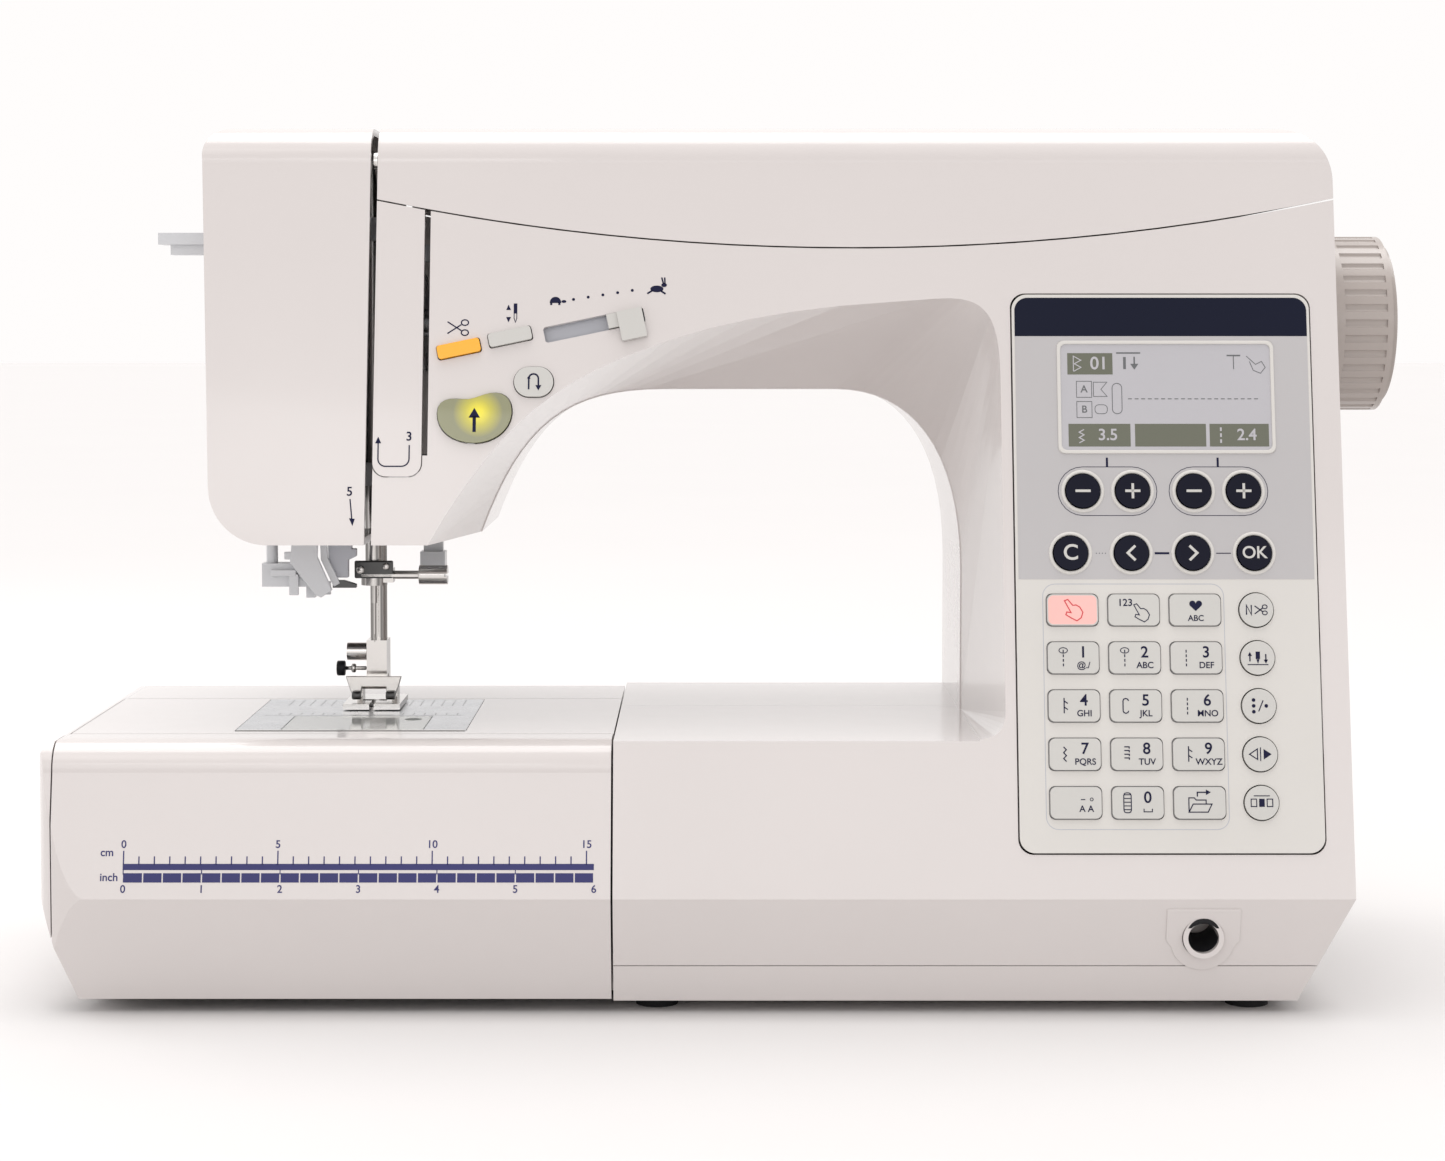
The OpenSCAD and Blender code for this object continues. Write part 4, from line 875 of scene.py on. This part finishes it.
def knee_bezel():
    """D-shaped surround of the knee-lifter socket, following the tapered foot of the base."""
    taper_y, taper_z = 8, 35
    taper = math.atan2(taper_y, taper_z)
    z_mm = 26.0
    y = FRONT_Y + taper_y * MM * (FORE_Z / MM - z_mm) / taper_z
    place = Matrix.Translation((152 * MM, y, z_mm * MM)) @ Matrix.Rotation(math.pi / 2 + taper, 4, "X")
    outline = [(-12, 10), (12, 10), (12, -1), *arc(0, -1, 10.5, 0, -180, 14)[1:-1], (-12, -1)]
    plate = filled(outline, place, 0.5)
    cut(plate, [cutter(oval(0, 0, 6.7, 6.7, 32), place)])
    plate.name = "knee_socket_bezel"
    finish_piece(plate, "white", ROOT)
    round_off(plate, 0.25)
    section = [(5.0, -14), (5.0, 0.4), (5.4, 1.0), (6.2, 1.0), (6.7, 0.4), (6.7, -3)]
    socket = lathe("knee_socket_ring", section, place)
    finish_piece(socket, "black", ROOT)


def slab(points_xz, y0, y1):
    """Flat piece with an outline in X and Z, between two depths, all in millimetres."""
    place = Matrix.Translation((0, y1 * MM, 0)) @ Matrix.Rotation(math.pi / 2, 4, "X")
    return filled(points_xz, place, y1 - y0)


def rod(start, length, r, steps=20):
    """Solid rod from a start point in millimetres along X."""
    place = Matrix.Translation(Vector(start) * MM) @ Matrix.Rotation(math.pi / 2, 4, "Y")
    edge = min(0.3, r / 3)
    section = [(0, 0), (r - edge, 0), (r, edge), (r, length - edge), (r - edge, length), (0, length)]
    return lathe("rod", section, place, steps)


def piece(name, parts, mat, body, rounding=0.25):
    obj = finish_piece(join_meshes(name, parts), mat, body)
    if rounding:
        round_off(obj, rounding)
    return obj


def threader_details():
    """Cam, guide, arm, holder and hook of the needle threader."""
    cam = [(-152.2, 151), (-143.2, 151), (-143.5, 144.5), (-138.5, 133), (-142.3, 130.4), (-144.2, 131.4),
           (-149.2, 137.6), (-153.0, 142.5)]
    guide = [(-142.8, 151), (-140.6, 151), (-140.2, 144), (-136.0, 135.2), (-138.2, 134.0), (-142.6, 143.5)]
    parts = [slab(cam, -26.5, -24.6), slab(guide, -24.4, -22.6)]
    parts.append(slab([(-159.8, 137.8), (-151, 137.8), (-151, 140), (-159.8, 140)], -26, -24))
    parts.append(slab([(-153.4, 131.2), (-150.2, 131.2), (-150.2, 138.5), (-153.4, 138.5)], -25.8, -24.2))
    parts.append(slab([(-155, 143.6), (-152.4, 143.6), (-152.4, 146.2), (-155, 146.2)], -26, -24.4))
    # Bridge under the head that joins the cam, the guide and the holder
    parts.append(slab([(-152, 149.4), (-132.6, 149.4), (-132.6, 151), (-152, 151)], -26.4, -19.2))
    piece("threader_cam", parts, "lever", "threader")
    parts = [slab([(-140.4, 151), (-132.2, 151), (-132.2, 147), (-130.6, 147), (-130.6, 144.4), (-133.4, 143),
                   (-133.4, 137), (-139, 137), (-140.2, 144)], -22.4, -19)]
    piece("threader_holder", parts, "grey", "threader")
    hook = [(-138.6, 133.6), (-130.4, 133.6), (-130.4, 134.8), (-134.6, 136.2), (-138.6, 136.2)]
    piece("threader_hook", [slab(hook, -24, -21.5)], "dark_steel", "threader", 0.15)


def clamp_details():
    """Dark front of the needle clamp, its two small screws and its thread-guide wire."""
    parts = [slab([(-133.4, 135.2), (-119.8, 135.2), (-119.8, 141.4), (-133.4, 141.4)], -5.4, -3.6)]
    piece("needle_clamp_front", parts, "dark_steel", "needle_unit", 0.5)
    face = Matrix.Translation((0, -5.3 * MM, 0)) @ Matrix.Rotation(math.pi / 2, 4, "X")
    screws = [lathe("screw", [(0, 0), (r, 0), (r, 0.5), (r - 0.3, 0.8), (0, 0.8)],
                    Matrix.Translation((x * MM, 0, z * MM)) @ face, 20)
              for x, z, r in ((-131.2, 138.2, 1.5), (-122.2, 139.4, 1.3))]
    piece("needle_clamp_screws", screws, "chrome", "needle_unit", 0)
    wire_place = Matrix.Translation((0, -4.5 * MM, 136.2 * MM)) @ Matrix.Rotation(math.pi / 2, 4, "X")
    wire = stroke([(-131, 0), (-111, 0)], 0.9, wire_place, False, 0.9)
    piece("needle_clamp_wire", [wire], "chrome", "needle_unit", 0)


def foot_details():
    """Front wings and toe rolls of the zigzag foot, and its black release button on a pin."""
    wings = [(-137, 100.2), (-117.2, 100.2), (-118.2, 96.8), (-119.6, 92.6), (-122.4, 92.6), (-122.8, 96.4),
             (-131.2, 96.4), (-131.6, 92.6), (-134.4, 92.6), (-135.9, 96.8)]
    piece("foot_wings", [slab(wings, -3.4, -1.8)], "chrome", "foot", 0.3)
    toes = [rod((x - 1.6, -4.5, 93.6), 3.2, 1.5, 16) for x in (-133, -121)]
    piece("foot_toe_rolls", toes, "dark_steel", "foot", 0)
    parts = [rod((-141.2, 6.2, 102), 2.9, 2.7, 28)]
    piece("foot_release_button", parts, "black", "foot", 0)
    parts = [rod((-138.4, 6.2, 102), 7.7, 0.7, 12), rod((-136, 6.2, 102), 1.5, 1.6, 20)]
    piece("foot_release_pin", parts, "chrome", "foot", 0)


def plate_edge():
    """Bright lip on the needle plate's real front edge, coloured as a painted highlight, and a dark strip of
    painted shade in the gap before it.
    """
    x0, x1, y0 = plate_low.x / MM, plate_high.x / MM, plate_low.y / MM
    place = Matrix.Translation((0, 0, BED_Z))
    # Chrome strip on the plate's front edge: a painted highlight
    lip = [(x0 + 0.3, y0 + 0.1), (x1 - 0.3, y0 + 0.1), (x1 - 1.2, y0 + 1.5), (x0 + 1.2, y0 + 1.5)]
    piece("needle_plate_highlight_lip", [filled(lip, place, 0.22)], "chrome", ROOT, 0)
    # Dark strip in the gap before the plate: painted shade
    line = filled(box_outline(x0 + 0.2, y0 - 0.35, x1 - 0.2, y0 + 0.1), place, 0.16)
    piece("needle_plate_gap_shade", [line], "dark_steel", ROOT, 0)


slider_floor()
knee_bezel()
threader_details()
clamp_details()
foot_details()
plate_edge()

panel_films()
panel_marks()
round_key_symbols()
screen()
keypad_marks()
head_marks()
rulers()
plate_marks()

# ---------------------------------------------------------------- camera, light and floor


def area_light(name, place, target, size, power, colour=(1, 1, 1)):
    data = bpy.data.lights.new(name, "AREA")
    data.shape = "RECTANGLE"
    data.size = size[0]
    data.size_y = size[1]
    data.energy = power
    data.color = colour
    obj = link(bpy.data.objects.new(name, data))
    obj.location = place
    obj.rotation_euler = (Vector(target) - Vector(place)).to_track_quat("-Z", "Y").to_euler()


def make_camera():
    data = bpy.data.cameras.new("camera")
    data.sensor_width = 36
    data.lens = 70
    data.shift_x = 0.0087
    data.shift_y = -0.076
    obj = link(bpy.data.objects.new("camera", data))
    obj.location = (-0.008, FRONT_Y - 0.900, 0.225)
    obj.rotation_euler = (math.radians(90 - 3), 0, 0)
    bpy.context.scene.camera = obj


def pale_floor():
    mat, nodes, links, bsdf = new_material("pale floor")
    vary_colour(nodes, links, bsdf, (0.635, 0.62, 0.615), (0.64, 0.625, 0.62), 3)
    bsdf.inputs["Roughness"].default_value = 0.7
    return mat


def make_stage():
    """Floor, white surroundings, soft lights and an overhead sky."""
    bpy.ops.mesh.primitive_plane_add(size=30, location=(0, 0, 0))
    floor = bpy.context.object
    floor.name = "floor"
    floor.data.materials.append(pale_floor())
    world = bpy.data.worlds.new("world")
    world.use_nodes = True
    world.node_tree.nodes["Background"].inputs["Color"].default_value = (1.0, 0.98, 0.972, 1)
    world.node_tree.nodes["Background"].inputs["Strength"].default_value = 1.0
    bpy.context.scene.world = world
    area_light("key", (-0.8, -1.2, 1.5), (0, 0, 0.15), (0.9, 0.6), 1.2, (1, 0.98, 0.95))
    area_light("top", (0.0, 0.35, 1.5), (0, 0.05, 0.1), (1.6, 0.6), 3)
    area_light("low", (0.1, -1.7, 0.45), (0, 0, 0.05), (1.6, 0.4), 1.6)
    area_light("side", (-1.1, 0.75, 0.6), (0.05, 0, 0.15), (0.5, 0.8), 2)
    sky = bpy.data.lights.new("overhead", "SUN")
    sky.energy = 1.6
    sky.angle = math.radians(50)
    sky_object = link(bpy.data.objects.new("overhead", sky))
    sky_object.rotation_euler = (math.radians(-4), 0, 0)
    area_light("window", (-0.37, -1.6, 0.72), (-0.12, -0.09, 0.08), (0.45, 0.13), 0.4)
    bpy.context.scene.view_settings.view_transform = "Standard"


make_camera()
make_stage()
